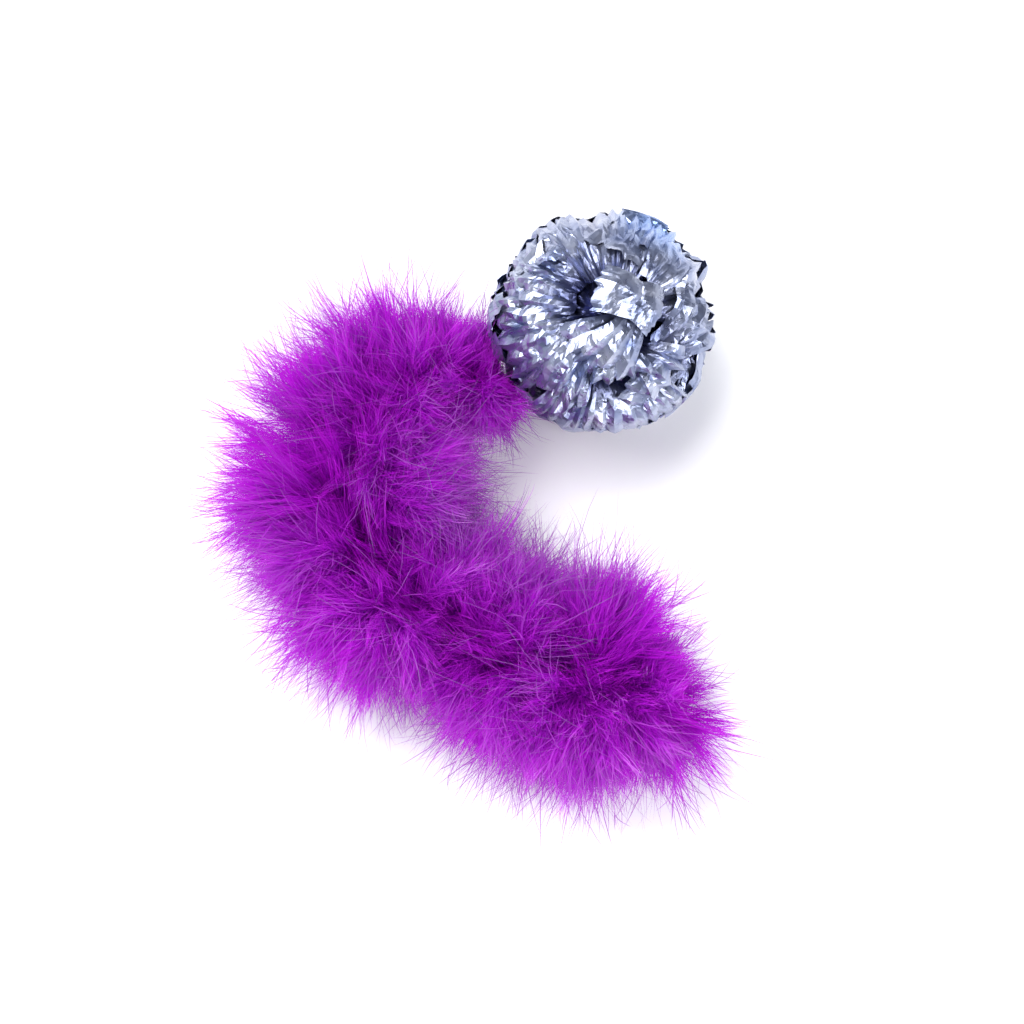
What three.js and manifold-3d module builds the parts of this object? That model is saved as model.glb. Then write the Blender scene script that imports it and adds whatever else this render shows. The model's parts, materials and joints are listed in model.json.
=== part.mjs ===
// A small pet toy: a short tail of marabou plumes bound on a cotton cord, tied to a crinkled ball of metallised film.
// Millimetres, +Z up. The toy lies on a flat surface at z = 0. The tail's cord starts at the knot beside the ball,
// curls away from it in a C and ends in a knot inside its last plumes.

import * as THREE from 'three';
import { mergeVertices } from 'three/addons/utils/BufferGeometryUtils.js';
import Module from 'manifold-3d';

const wasm = await Module();
wasm.setup();

// ---- Driving dimensions ----

const BALL_DIAMETER = 50; // the crinkled film ball
const BALL_FOOT_DEPTH = 0.7; // how far the ball's underside is pressed flat
const BALL_TILT = 15; // degrees that the ball's gathering axis leans towards -Y
const BALL_BEARING = 30; // degrees from +X, the way from the knot to the ball
const LEAF_COUNT = 10; // film leaves fanned round the gathering axis
const LEAF_FACETS = 30; // facets round the ball

const WAIST_DIAMETER = 7; // the film where it spreads above and below its tie
const WAIST_NECK_DIAMETER = 3.6; // the film inside its tie
const WAIST_LENGTH = 13;
const WAIST_SHOULDER_WIDTH = 0.8; // the shoulder between neck and flare, as a share of the flare's width
const WAIST_SHOULDER_PLACE = 0.6; // how far out the shoulder is, as a share of the half-length
const WAIST_SIDES = 12;
const WAIST_TIE_THICKNESS = 1.2; // the twisted band round the neck
const WAIST_TIE_SIDES = 6; // round the band's section
const WAIST_TIE_STEPS = 14; // along the band

const CORD_DIAMETER = 1.8; // two-ply cotton cord
const CORD_SIDES = 8;
const CORD_STEP = 4; // length of one facet along the cord
const BORE_SIDES = 10;
const LEAD_END = 5; // how far the ball's lead stops short of the ball's centre

const FLUFF_RADIUS = 27; // full plumes, from the cord out
const FLUFF_RADIUS_AT_BALL = 15;
const FLUFF_RADIUS_AT_END = 25.5;
const FLUFF_SWELL = 34; // length of tail over which the plumes grow from the ball end to full size
const FLUFF_SETTLE = 8; // how much of the radius is pressed flat under the tail
const TUFT_DETAIL = 3; // subdivision of a tuft's round surface

const TAIL_BODIES = 5; // stretches of tail that bend against each other
const TUFTS_PER_BODY = 2;

const QUILL_DIAMETER = 0.8; // the butts of the plumes, laid along the cord
const QUILLS_PER_COLLAR = 8;
const QUILL_DIP = 0.3; // how deep the scallop between two quills is, as a share of a quill
const COLLAR_LENGTH = 6;
const THREAD_DIAMETER = 0.4; // binding thread
const THREAD_PITCH = 6.5;
const THREAD_SIDES = 6;
const THREAD_STEPS_PER_TURN = 8;

const WHIPPING_LENGTH = 3.2; // thread wound round the cord's free end
const WHIPPING_TURNS = 4;
const WHIPPING_SIDES = 10;
const KNOT_LOOP = 1.45; // half-width of a knot's loops
const KNOT_STRAND_DIAMETER = 1.3;
const KNOT_STEPS = 30; // facets along a knot's strand
const KNOT_SIDES = 5; // round its section
const KNOT_TURNS = 2; // times that the strand goes round the cord
const KNOT_CROSSINGS = 3;

// ---- Clearances ----

const GAP = 0.3; // between neighbours that touch on the real toy
const HINGE_GAP = 0.9; // from a bending point to each cord end beside it
const COLLAR_HINGE_GAP = 1.4; // from a bending point to the nearest collar or thread
const KNOT_GAP = 0.3; // round a knot

// ---- Sizes that follow ----

const BALL_RADIUS = BALL_DIAMETER / 2;
const CORD_RADIUS = CORD_DIAMETER / 2;
const CORD_HEIGHT = FLUFF_RADIUS - FLUFF_SETTLE;
const COLLAR_INNER = CORD_RADIUS + GAP;
const COLLAR_OUTER = COLLAR_INNER + QUILL_DIAMETER;
const THREAD_RADIUS = THREAD_DIAMETER / 2;
const THREAD_PATH = COLLAR_OUTER + GAP + THREAD_RADIUS;
const BORE_RADIUS = THREAD_PATH + THREAD_RADIUS + GAP;
const KNOT_REACH = KNOT_LOOP * 1.5 + KNOT_STRAND_DIAMETER / 2;
const KNOT_ROOM = KNOT_REACH + KNOT_GAP;
const WAIST_ROOM = WAIST_DIAMETER / 2 + GAP;
const FAR = 200; // longer than anything on the toy
const END_OPENING = 50; // from the end knot out past the last plumes

// ---- The tail's route ----

// Points that the cord passes, from the knot beside the ball. The third value is a rise above the cord's height.
const ROUTE_POINTS = [
  [0, 0, 2],
  [-5.5, 0.7, 1.2],
  [-11, -0.1, 0.5],
  [-16.8, -2.2, 0],
  [-21.9, -5.8, 0],
  [-25.8, -10.8, 0],
  [-28.6, -16.6, 0],
  [-30, -22.6, 0],
  [-30.2, -28.8, 0],
  [-29.1, -35, 0],
  [-26.4, -40.9, 0],
  [-22.5, -46.2, 0],
  [-17.4, -50.9, 0],
  [-11.4, -54.9, 0],
  [-4.8, -58.1, 0],
  [2, -60.9, 0],
  [9.3, -63.4, 0],
  [17.2, -65.6, 0],
  [25.4, -67.6, -0.5],
  [33.6, -69.6, -1],
];

const route = new THREE.CatmullRomCurve3(
  ROUTE_POINTS.map(([x, y, rise]) => new THREE.Vector3(x, y, CORD_HEIGHT + rise)),
  false,
  'centripetal',
);
route.arcLengthDivisions = 600;
const TAIL_LENGTH = route.getLength();
const BODY_LENGTH = TAIL_LENGTH / TAIL_BODIES;

/** The point on the tail's cord at a length from the knot; past the end it goes straight on. */
function cordPoint(length) {
  const within = THREE.MathUtils.clamp(length / TAIL_LENGTH, 0, 1);
  const point = route.getPointAt(within);
  return point.addScaledVector(route.getTangentAt(within), length - within * TAIL_LENGTH);
}

/** The cord's direction at a length from the knot. */
function cordDirection(length) {
  return route.getTangentAt(THREE.MathUtils.clamp(length / TAIL_LENGTH, 0, 1));
}

/** A stretch of the tail's route, from one length to another. */
class Stretch extends THREE.Curve {
  constructor(from, to) {
    super();
    this.from = from;
    this.to = to;
  }

  getPoint(t, target = new THREE.Vector3()) {
    return target.copy(cordPoint(THREE.MathUtils.lerp(this.from, this.to, t)));
  }
}

/** A thread that winds round a stretch of the tail's route. */
class Winding extends THREE.Curve {
  constructor(from, to, radius, pitch) {
    super();
    this.from = from;
    this.to = to;
    this.radius = radius;
    this.pitch = pitch;
  }

  getPoint(t, target = new THREE.Vector3()) {
    const length = THREE.MathUtils.lerp(this.from, this.to, t);
    const along = cordDirection(length);
    const side = new THREE.Vector3(0, 0, 1).cross(along).normalize();
    const over = along.clone().cross(side);
    const turn = (length / this.pitch) * Math.PI * 2;
    target.copy(cordPoint(length));
    target.addScaledVector(side, this.radius * Math.cos(turn));
    return target.addScaledVector(over, this.radius * Math.sin(turn));
  }
}

// ---- Finishes ----

const PLUME = new THREE.MeshStandardMaterial({ color: 0x9422b4, roughness: 0.95, metalness: 0 });
const CORD = new THREE.MeshStandardMaterial({ color: 0x5d1270, roughness: 0.9, metalness: 0 });
const THREAD = new THREE.MeshStandardMaterial({ color: 0x7a1a92, roughness: 0.8, metalness: 0 });
const QUILL = new THREE.MeshStandardMaterial({ color: 0xb56bc9, roughness: 0.6, metalness: 0 });
const FILM = new THREE.MeshStandardMaterial({ color: 0xb9c0d8, roughness: 0.2, metalness: 1 });
const BAND = new THREE.MeshStandardMaterial({ color: 0xd8d8dc, roughness: 0.5, metalness: 0 });

// ---- Solids ----

/** A geometry with only merged positions, so that its shared vertices are one. */
function welded(geometry) {
  const bare = geometry.clone();
  for (const name of Object.keys(bare.attributes)) {
    if (name !== 'position') {
      bare.deleteAttribute(name);
    }
  }
  return mergeVertices(bare, 1e-4);
}

/** A closed geometry as a solid that can be joined and cut. */
function solid(geometry) {
  const bare = welded(geometry);
  return new wasm.Manifold(
    new wasm.Mesh({
      numProp: 3,
      vertProperties: Float32Array.from(bare.attributes.position.array),
      triVerts: Uint32Array.from(bare.index.array),
    }),
  );
}

/** A solid as a geometry. */
function surface(body) {
  const mesh = body.getMesh();
  const geometry = new THREE.BufferGeometry();
  geometry.setAttribute('position', new THREE.BufferAttribute(Float32Array.from(mesh.vertProperties), 3));
  geometry.setIndex(new THREE.BufferAttribute(Uint32Array.from(mesh.triVerts), 1));
  geometry.computeVertexNormals();
  return geometry;
}

/** Everything beyond a plane: the point lies on the plane and the normal points into the block. */
function halfSpace(point, normal) {
  const block = new THREE.BoxGeometry(FAR, FAR, FAR);
  block.translate(0, 0, FAR / 2);
  const turn = new THREE.Quaternion().setFromUnitVectors(new THREE.Vector3(0, 0, 1), normal.clone().normalize());
  block.applyQuaternion(turn);
  block.translate(point.x, point.y, point.z);
  return solid(block);
}

const belowFloor = halfSpace(new THREE.Vector3(0, 0, 0), new THREE.Vector3(0, 0, -1));

/** A round section. */
function disc(radius) {
  return new THREE.Shape().absarc(0, 0, radius, 0, Math.PI * 2, false);
}

/** A round rod along a curve. An arc takes two sides for each curve segment. */
function rod(curve, radius, steps, sides) {
  return new THREE.ExtrudeGeometry(disc(radius), {
    extrudePath: curve,
    steps,
    curveSegments: sides / 2,
    bevelEnabled: false,
  });
}

/** Facets along a stretch of cord. */
function stepsFor(length) {
  return Math.max(1, Math.round(length / CORD_STEP));
}

const toy = new THREE.Group();

/** Adds one named piece to the toy. */
function add(name, geometry, finish) {
  const mesh = new THREE.Mesh(geometry, finish);
  mesh.name = name;
  toy.add(mesh);
}

/** A piece's number as two digits. */
function numbered(stem, index) {
  return `${stem}_${String(index + 1).padStart(2, '0')}`;
}

// ---- Where the ball sits ----

const knotPoint = cordPoint(0);
const ballHeight = BALL_RADIUS - BALL_FOOT_DEPTH;
const knotToBall = BALL_RADIUS + KNOT_ROOM;
const ballRise = ballHeight - knotPoint.z;
const ballAcross = Math.sqrt(knotToBall ** 2 - ballRise ** 2);
const bearing = THREE.MathUtils.degToRad(BALL_BEARING);
const ballCentre = new THREE.Vector3(
  knotPoint.x + ballAcross * Math.cos(bearing),
  knotPoint.y + ballAcross * Math.sin(bearing),
  ballHeight,
);
const leadDirection = ballCentre.clone().sub(knotPoint).normalize();

/** The ball's own frame: its gathering axis is the frame's Z. */
const ballFrame = new THREE.Matrix4()
  .makeTranslation(ballCentre.x, ballCentre.y, ballCentre.z)
  .multiply(new THREE.Matrix4().makeRotationX(THREE.MathUtils.degToRad(BALL_TILT)));

// ---- The film ball ----

/** The channel between the leaves in which the lead runs out of the ball. */
function leadChannel() {
  const run = new THREE.LineCurve3(ballCentre, knotPoint);
  return solid(rod(run, CORD_RADIUS + GAP, 1, CORD_SIDES));
}

/** The space round the gathered waist. */
function waistRoom() {
  const room = new THREE.CylinderGeometry(WAIST_ROOM, WAIST_ROOM, WAIST_LENGTH + 2 * GAP, WAIST_SIDES);
  room.rotateX(Math.PI / 2);
  room.applyMatrix4(ballFrame);
  return solid(room);
}

/** Film leaves: wedges of the ball fanned round its gathering axis. */
function addLeaves() {
  const ball = new THREE.SphereGeometry(BALL_RADIUS, LEAF_FACETS, LEAF_FACETS / 2);
  ball.rotateX(Math.PI / 2);
  ball.applyMatrix4(ballFrame);
  const hollowed = solid(ball).subtract(waistRoom()).subtract(leadChannel()).subtract(belowFloor);
  const wedge = (Math.PI * 2) / LEAF_COUNT;
  for (let index = 0; index < LEAF_COUNT; index += 1) {
    let leaf = hollowed;
    for (const [angle, side] of [[index * wedge, -1], [(index + 1) * wedge, 1]]) {
      const normal = new THREE.Vector3(-Math.sin(angle), Math.cos(angle), 0).multiplyScalar(side);
      const point = normal.clone().multiplyScalar(-GAP / 2);
      point.applyMatrix4(ballFrame);
      normal.transformDirection(ballFrame);
      leaf = leaf.subtract(halfSpace(point, normal));
    }
    add(numbered('film_leaf', index), surface(leaf), FILM);
  }
}

/** The film drawn together at the ball's middle, thin where the band holds it. */
function addWaist() {
  const half = WAIST_LENGTH / 2;
  const neck = WAIST_NECK_DIAMETER / 2;
  const flare = WAIST_DIAMETER / 2;
  const shoulder = flare * WAIST_SHOULDER_WIDTH;
  const shoulderPlace = half * WAIST_SHOULDER_PLACE;
  const profile = [
    new THREE.Vector2(0, -half),
    new THREE.Vector2(flare, -half),
    new THREE.Vector2(shoulder, -shoulderPlace),
    new THREE.Vector2(neck, -WAIST_TIE_THICKNESS),
    new THREE.Vector2(neck, WAIST_TIE_THICKNESS),
    new THREE.Vector2(shoulder, shoulderPlace),
    new THREE.Vector2(flare, half),
    new THREE.Vector2(0, half),
  ];
  const waist = new THREE.LatheGeometry(profile, WAIST_SIDES);
  waist.rotateX(Math.PI / 2);
  waist.applyMatrix4(ballFrame);
  add('gathered_waist', waist, FILM);

  const bandPath = neck + GAP + WAIST_TIE_THICKNESS / 2;
  const band = new THREE.TorusGeometry(bandPath, WAIST_TIE_THICKNESS / 2, WAIST_TIE_SIDES, WAIST_TIE_STEPS);
  band.applyMatrix4(ballFrame);
  add('waist_tie', band, BAND);
}

/** The cord from the waist tie out to the ball's skin. */
function addLead() {
  const from = ballCentre.clone().addScaledVector(leadDirection, -LEAD_END);
  const to = knotPoint.clone().addScaledVector(leadDirection, KNOT_ROOM);
  add('ball_lead', rod(new THREE.LineCurve3(from, to), CORD_RADIUS, 3, CORD_SIDES), CORD);
}

/** A knot: three crossing loops of strand, flat side along the cord. */
function knot(point, along) {
  const loops = new THREE.TorusKnotGeometry(
    KNOT_LOOP,
    KNOT_STRAND_DIAMETER / 2,
    KNOT_STEPS,
    KNOT_SIDES,
    KNOT_TURNS,
    KNOT_CROSSINGS,
  );
  loops.applyQuaternion(new THREE.Quaternion().setFromUnitVectors(new THREE.Vector3(0, 0, 1), along));
  loops.translate(point.x, point.y, point.z);
  return loops;
}

// ---- The plume tail ----

/** The plumes' reach from the cord at a length along the tail. */
function fluffRadius(length) {
  const grown = THREE.MathUtils.smoothstep(length, 0, FLUFF_SWELL);
  const full = THREE.MathUtils.lerp(FLUFF_RADIUS_AT_BALL, FLUFF_RADIUS, grown);
  const ending = THREE.MathUtils.smoothstep(length, TAIL_LENGTH - FLUFF_SWELL, TAIL_LENGTH);
  return THREE.MathUtils.lerp(full, Math.min(full, FLUFF_RADIUS_AT_END), ending);
}

/** The stretch of each body that quills and thread may use, clear of the knot, the bends and the whipping. */
const bindings = Array.from({ length: TAIL_BODIES }, (_, index) => {
  const before = index === 0 ? KNOT_ROOM + GAP : COLLAR_HINGE_GAP;
  const after = index === TAIL_BODIES - 1 ? WHIPPING_LENGTH + GAP : COLLAR_HINGE_GAP;
  return { from: index * BODY_LENGTH + before, to: (index + 1) * BODY_LENGTH - after };
});

/** Where each tuft is bound to the tail, and how far its plumes reach. */
const tufts = bindings.flatMap(({ from, to }) =>
  Array.from({ length: TUFTS_PER_BODY }, (_, index) => {
    const length = THREE.MathUtils.lerp(from, to, (index + 0.5) / TUFTS_PER_BODY);
    return { length, centre: cordPoint(length), radius: fluffRadius(length) };
  }),
);

/** The plane halfway between two tufts, where the plumes of one give way to those of the other. */
function sharedPlane(centre, otherCentre) {
  const towards = otherCentre.clone().sub(centre);
  const along = towards.length() / 2 - GAP / 2;
  towards.normalize();
  return { normal: towards, point: centre.clone().addScaledVector(towards, along) };
}

/** The channel through the tufts for the cord, its quills and its thread, wider round the end knot. */
function tailBore() {
  const start = -KNOT_ROOM;
  const cordRun = new Stretch(start, TAIL_LENGTH);
  const bore = solid(rod(cordRun, BORE_RADIUS, stepsFor(TAIL_LENGTH - start), BORE_SIDES));
  const knotRun = new Stretch(TAIL_LENGTH - GAP, TAIL_LENGTH + END_OPENING);
  return bore.add(solid(rod(knotRun, KNOT_ROOM, 1, BORE_SIDES)));
}

/** One tuft: a round cloud of plumes cut off from its neighbours, the ball and the floor. */
function tuftSolid(tuft, bore) {
  const cloud = new THREE.IcosahedronGeometry(tuft.radius, TUFT_DETAIL);
  cloud.translate(tuft.centre.x, tuft.centre.y, tuft.centre.z);
  let body = solid(cloud).subtract(belowFloor);
  for (const other of tufts) {
    const near = other.centre.distanceTo(tuft.centre) < other.radius + tuft.radius;
    if (other !== tuft && near) {
      const plane = sharedPlane(tuft.centre, other.centre);
      body = body.subtract(halfSpace(plane.point, plane.normal));
    }
  }
  const toBall = ballCentre.clone().sub(tuft.centre);
  const room = toBall.length() - BALL_RADIUS - GAP;
  if (room < tuft.radius) {
    toBall.normalize();
    body = body.subtract(halfSpace(tuft.centre.clone().addScaledVector(toBall, room), toBall));
  }
  return body.subtract(bore);
}

function addTufts() {
  const bore = tailBore();
  tufts.forEach((tuft, index) => {
    add(numbered('plume_tuft', index), surface(tuftSolid(tuft, bore)), PLUME);
  });
}

/** A ring of quill butts round the cord: scalloped outside, clear of the cord inside. */
function quillSection() {
  const outline = new THREE.Shape();
  const points = QUILLS_PER_COLLAR * 2;
  for (let index = 0; index < points; index += 1) {
    const angle = (index / points) * Math.PI * 2;
    const radius = index % 2 === 0 ? COLLAR_OUTER : COLLAR_OUTER - QUILL_DIAMETER * QUILL_DIP;
    if (index === 0) {
      outline.moveTo(radius, 0);
    } else {
      outline.lineTo(radius * Math.cos(angle), radius * Math.sin(angle));
    }
  }
  outline.closePath();
  const hole = new THREE.Path().absarc(0, 0, COLLAR_INNER, 0, Math.PI * 2, true);
  outline.holes.push(hole);
  return outline;
}

/** Quill butts where each tuft is bound on. */
function addCollars() {
  tufts.forEach((tuft, index) => {
    const run = new Stretch(tuft.length - COLLAR_LENGTH / 2, tuft.length + COLLAR_LENGTH / 2);
    const collar = new THREE.ExtrudeGeometry(quillSection(), {
      extrudePath: run,
      steps: 2,
      curveSegments: CORD_SIDES / 2,
      bevelEnabled: false,
    });
    add(numbered('quill_collar', index), collar, QUILL);
  });
}

/** Each stretch's cord and binding thread, held clear of the bending points. */
function addCords() {
  for (let index = 0; index < TAIL_BODIES; index += 1) {
    const first = index === 0;
    const last = index === TAIL_BODIES - 1;
    const from = index * BODY_LENGTH;
    const to = (index + 1) * BODY_LENGTH;
    const cordFrom = from + (first ? KNOT_ROOM : HINGE_GAP);
    const cordTo = to - (last ? 0 : HINGE_GAP);
    const cord = rod(new Stretch(cordFrom, cordTo), CORD_RADIUS, stepsFor(cordTo - cordFrom), CORD_SIDES);
    add(numbered('core_cord', index), cord, CORD);

    const binding = bindings[index];
    const winding = new Winding(binding.from, binding.to, THREAD_PATH, THREAD_PITCH);
    const turns = (binding.to - binding.from) / THREAD_PITCH;
    const steps = Math.round(turns * THREAD_STEPS_PER_TURN);
    add(numbered('binding_thread', index), rod(winding, THREAD_RADIUS, steps, THREAD_SIDES), THREAD);
  }
}

/** Thread whipped round the cord's free end: a ribbed sleeve. */
function addWhipping() {
  const inner = CORD_RADIUS + GAP;
  const outer = inner + THREAD_DIAMETER;
  const turn = WHIPPING_LENGTH / WHIPPING_TURNS;
  const profile = [new THREE.Vector2(inner, 0)];
  for (let index = 0; index < WHIPPING_TURNS; index += 1) {
    profile.push(new THREE.Vector2(outer - THREAD_RADIUS / 2, index * turn));
    profile.push(new THREE.Vector2(outer, (index + 0.5) * turn));
  }
  profile.push(new THREE.Vector2(outer - THREAD_RADIUS / 2, WHIPPING_LENGTH));
  profile.push(new THREE.Vector2(inner, WHIPPING_LENGTH));
  profile.push(profile[0].clone());
  const sleeve = new THREE.LatheGeometry(profile, WHIPPING_SIDES);
  const start = TAIL_LENGTH - WHIPPING_LENGTH;
  const along = cordDirection(start + WHIPPING_LENGTH / 2);
  sleeve.applyQuaternion(new THREE.Quaternion().setFromUnitVectors(new THREE.Vector3(0, 1, 0), along));
  const foot = cordPoint(start);
  sleeve.translate(foot.x, foot.y, foot.z);
  add('end_whipping', sleeve, THREAD);
}

// ---- Assembly ----

addLeaves();
addWaist();
addLead();
add('tie_knot', knot(knotPoint, leadDirection), CORD);
addCords();
addCollars();
addTufts();
addWhipping();
add('end_knot', knot(cordPoint(TAIL_LENGTH + KNOT_ROOM), cordDirection(TAIL_LENGTH)), CORD);

// The origin is at the middle of the toy's box, on the surface that it lies on.
const box = new THREE.Box3().setFromObject(toy);
toy.position.set(-(box.min.x + box.max.x) / 2, -(box.min.y + box.max.y) / 2, 0);
toy.updateMatrixWorld(true);

export default toy;
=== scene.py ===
"""Looks of a small pet toy: a tail of marabou plumes on a cord, tied to a crinkled ball of metallised film.

Everything is in metres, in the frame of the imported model. Sizes are in millimetres where a note says so.
"""

from __future__ import annotations

import json
import logging
import math
from dataclasses import dataclass
from enum import Enum

import bpy
import numpy as np
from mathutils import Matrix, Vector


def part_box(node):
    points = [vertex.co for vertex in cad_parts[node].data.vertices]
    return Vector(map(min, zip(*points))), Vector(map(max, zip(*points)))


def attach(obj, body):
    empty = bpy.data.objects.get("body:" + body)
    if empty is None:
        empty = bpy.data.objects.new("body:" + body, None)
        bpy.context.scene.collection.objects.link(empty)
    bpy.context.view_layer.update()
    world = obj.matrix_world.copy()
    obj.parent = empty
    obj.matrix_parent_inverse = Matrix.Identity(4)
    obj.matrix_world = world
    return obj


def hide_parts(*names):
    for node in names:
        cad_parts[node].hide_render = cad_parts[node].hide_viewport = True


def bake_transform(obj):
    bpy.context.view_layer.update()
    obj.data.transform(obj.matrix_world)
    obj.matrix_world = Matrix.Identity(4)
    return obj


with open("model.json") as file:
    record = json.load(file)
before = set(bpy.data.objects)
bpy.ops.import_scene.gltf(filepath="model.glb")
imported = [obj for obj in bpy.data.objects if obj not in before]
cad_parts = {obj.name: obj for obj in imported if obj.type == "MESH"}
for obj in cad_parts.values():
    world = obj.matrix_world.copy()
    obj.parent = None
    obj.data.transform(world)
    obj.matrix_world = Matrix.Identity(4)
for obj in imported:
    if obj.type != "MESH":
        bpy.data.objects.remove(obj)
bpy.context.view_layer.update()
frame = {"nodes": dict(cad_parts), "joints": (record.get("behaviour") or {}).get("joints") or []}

Array = np.ndarray
Place = tuple[float, float, float]
Colour = tuple[float, float, float]
Colours = tuple[Colour, ...]
Numbers = tuple[float, ...]

MM = 0.001
UP = np.array([0.0, 0.0, 1.0])
GOLDEN_ANGLE = math.pi * (3.0 - math.sqrt(5.0))
BAKE_MAP = "OFBake"
LOG = logging.getLogger("toy")


# ---------------------------------------------------------------- arrays


def unit(vectors: Array) -> Array:
    """Vectors divided by their length.

    Args:
        vectors: Any array whose last axis holds x, y, z.

    Returns:
        The same shape, each vector of length 1.
    """
    return vectors / np.maximum(np.linalg.norm(vectors, axis=-1, keepdims=True), 1e-12)


def smooth(value: Array | float, low: float, high: float) -> Array:
    """A smooth step: 0 under low, 1 over high, and 3t^2 - 2t^3 between them.

    Args:
        value: Where to read the step.
        low: Where it starts to rise.
        high: Where it is full.

    Returns:
        Values from 0 to 1.
    """
    share = np.clip((np.asarray(value) - low) / (high - low), 0.0, 1.0)
    return share * share * (3.0 - 2.0 * share)


def triangle_wave(turns: Array) -> Array:
    """A zigzag of straight lines between -1 and 1, one period for each whole turn."""
    return 4.0 * np.abs(turns - np.floor(turns + 0.5)) - 1.0


def across(directions: Array, rng: np.random.Generator) -> Array:
    """A random unit vector square to each direction.

    Args:
        directions: Unit vectors, shape (..., 3).
        rng: Source of chance.

    Returns:
        Unit vectors of the same shape.
    """
    return unit(np.cross(directions, rng.normal(size=directions.shape)))


# ---------------------------------------------------------------- meshes


def new_piece(
    name: str, points: Array, faces: Array, uvs: Array | None = None, smooth_shaded: bool = True
) -> bpy.types.Object:
    """Makes a shown mesh object from whole arrays.

    Args:
        name: The piece's name.
        points: Vertex places in metres, shape (n, 3).
        faces: Vertex numbers, shape (m, 3) or (m, 4).
        uvs: A map place for each vertex, shape (n, 2), kept as the piece's bake map.
        smooth_shaded: False for creased film, whose facets stay flat.

    Returns:
        The object, at the origin.
    """
    mesh = bpy.data.meshes.new(name)
    corners = faces.shape[1]
    mesh.vertices.add(len(points))
    mesh.vertices.foreach_set("co", np.ascontiguousarray(points, np.float32).ravel())
    mesh.loops.add(faces.size)
    mesh.loops.foreach_set("vertex_index", np.ascontiguousarray(faces, np.int32).ravel())
    mesh.polygons.add(len(faces))
    mesh.polygons.foreach_set("loop_start", np.arange(0, faces.size, corners, dtype=np.int32))
    mesh.polygons.foreach_set("use_smooth", np.full(len(faces), smooth_shaded))
    if uvs is not None:
        layer = mesh.uv_layers.new(name=BAKE_MAP)
        layer.data.foreach_set("uv", np.ascontiguousarray(uvs[faces.ravel()], np.float32).ravel())
    mesh.update(calc_edges=True)
    piece = bpy.data.objects.new(name, mesh)
    bpy.context.scene.collection.objects.link(piece)
    return piece


def grid_faces(rows: int, columns: int, closed: bool = False) -> Array:
    """Quads of a grid of rows x columns vertices, numbered row by row.

    Args:
        rows: Vertices along the first parameter.
        columns: Vertices along the second parameter.
        closed: True if the second parameter comes back to its start.

    Returns:
        Vertex numbers, shape (quads, 4).
    """
    wide = columns if closed else columns - 1
    row, column = np.meshgrid(np.arange(rows - 1), np.arange(wide), indexing="ij")
    following = (column + 1) % columns
    quads = [row * columns + column, row * columns + following]
    quads += [(row + 1) * columns + following, (row + 1) * columns + column]
    return np.stack(quads, axis=-1).reshape(-1, 4)


def tube(centre: Array, side: Array, over: Array, radius: Array, sides: int) -> tuple[Array, Array]:
    """A round tube carried along a path: centre + radius (side cos v + over sin v), closed at both ends.

    Args:
        centre: Path points, shape (n, 3).
        side: Unit vectors square to the path, shape (n, 3).
        over: Unit vectors square to both, shape (n, 3).
        radius: A radius for each point, shape (n,).
        sides: Vertices round the tube.

    Returns:
        Vertices and triangles.
    """
    angle = np.arange(sides) * (2.0 * math.pi / sides)
    ring = side[:, None] * np.cos(angle)[None, :, None] + over[:, None] * np.sin(angle)[None, :, None]
    points = (centre[:, None] + radius[:, None, None] * ring).reshape(-1, 3)
    quads = grid_faces(len(centre), sides, closed=True)
    triangles = np.concatenate([quads[:, [0, 1, 2]], quads[:, [0, 2, 3]]])
    first, last = len(points), len(points) + 1
    start = np.arange(sides)
    following = (start + 1) % sides
    end = start + (len(centre) - 1) * sides
    end_following = following + (len(centre) - 1) * sides
    caps = [
        np.stack([np.full(sides, first), following, start], axis=1),
        np.stack([np.full(sides, last), end, end_following], axis=1),
    ]
    points = np.concatenate([points, centre[:1], centre[-1:]])
    return points, np.concatenate([triangles, *caps])


def joined(parts: list[tuple[Array, ...]]) -> tuple[Array, ...]:
    """Several (points, faces, ...) tuples as one, with the faces renumbered.

    Args:
        parts: Tuples of points, faces and any further arrays that run along the points.

    Returns:
        One such tuple.
    """
    starts = np.cumsum([0, *[len(part[0]) for part in parts[:-1]]])
    faces = np.concatenate([part[1] + start for part, start in zip(parts, starts, strict=True)])
    others = [np.concatenate([part[index] for part in parts]) for index in range(2, len(parts[0]))]
    return (np.concatenate([part[0] for part in parts]), faces, *others)


# ---------------------------------------------------------------- shader maths


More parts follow.
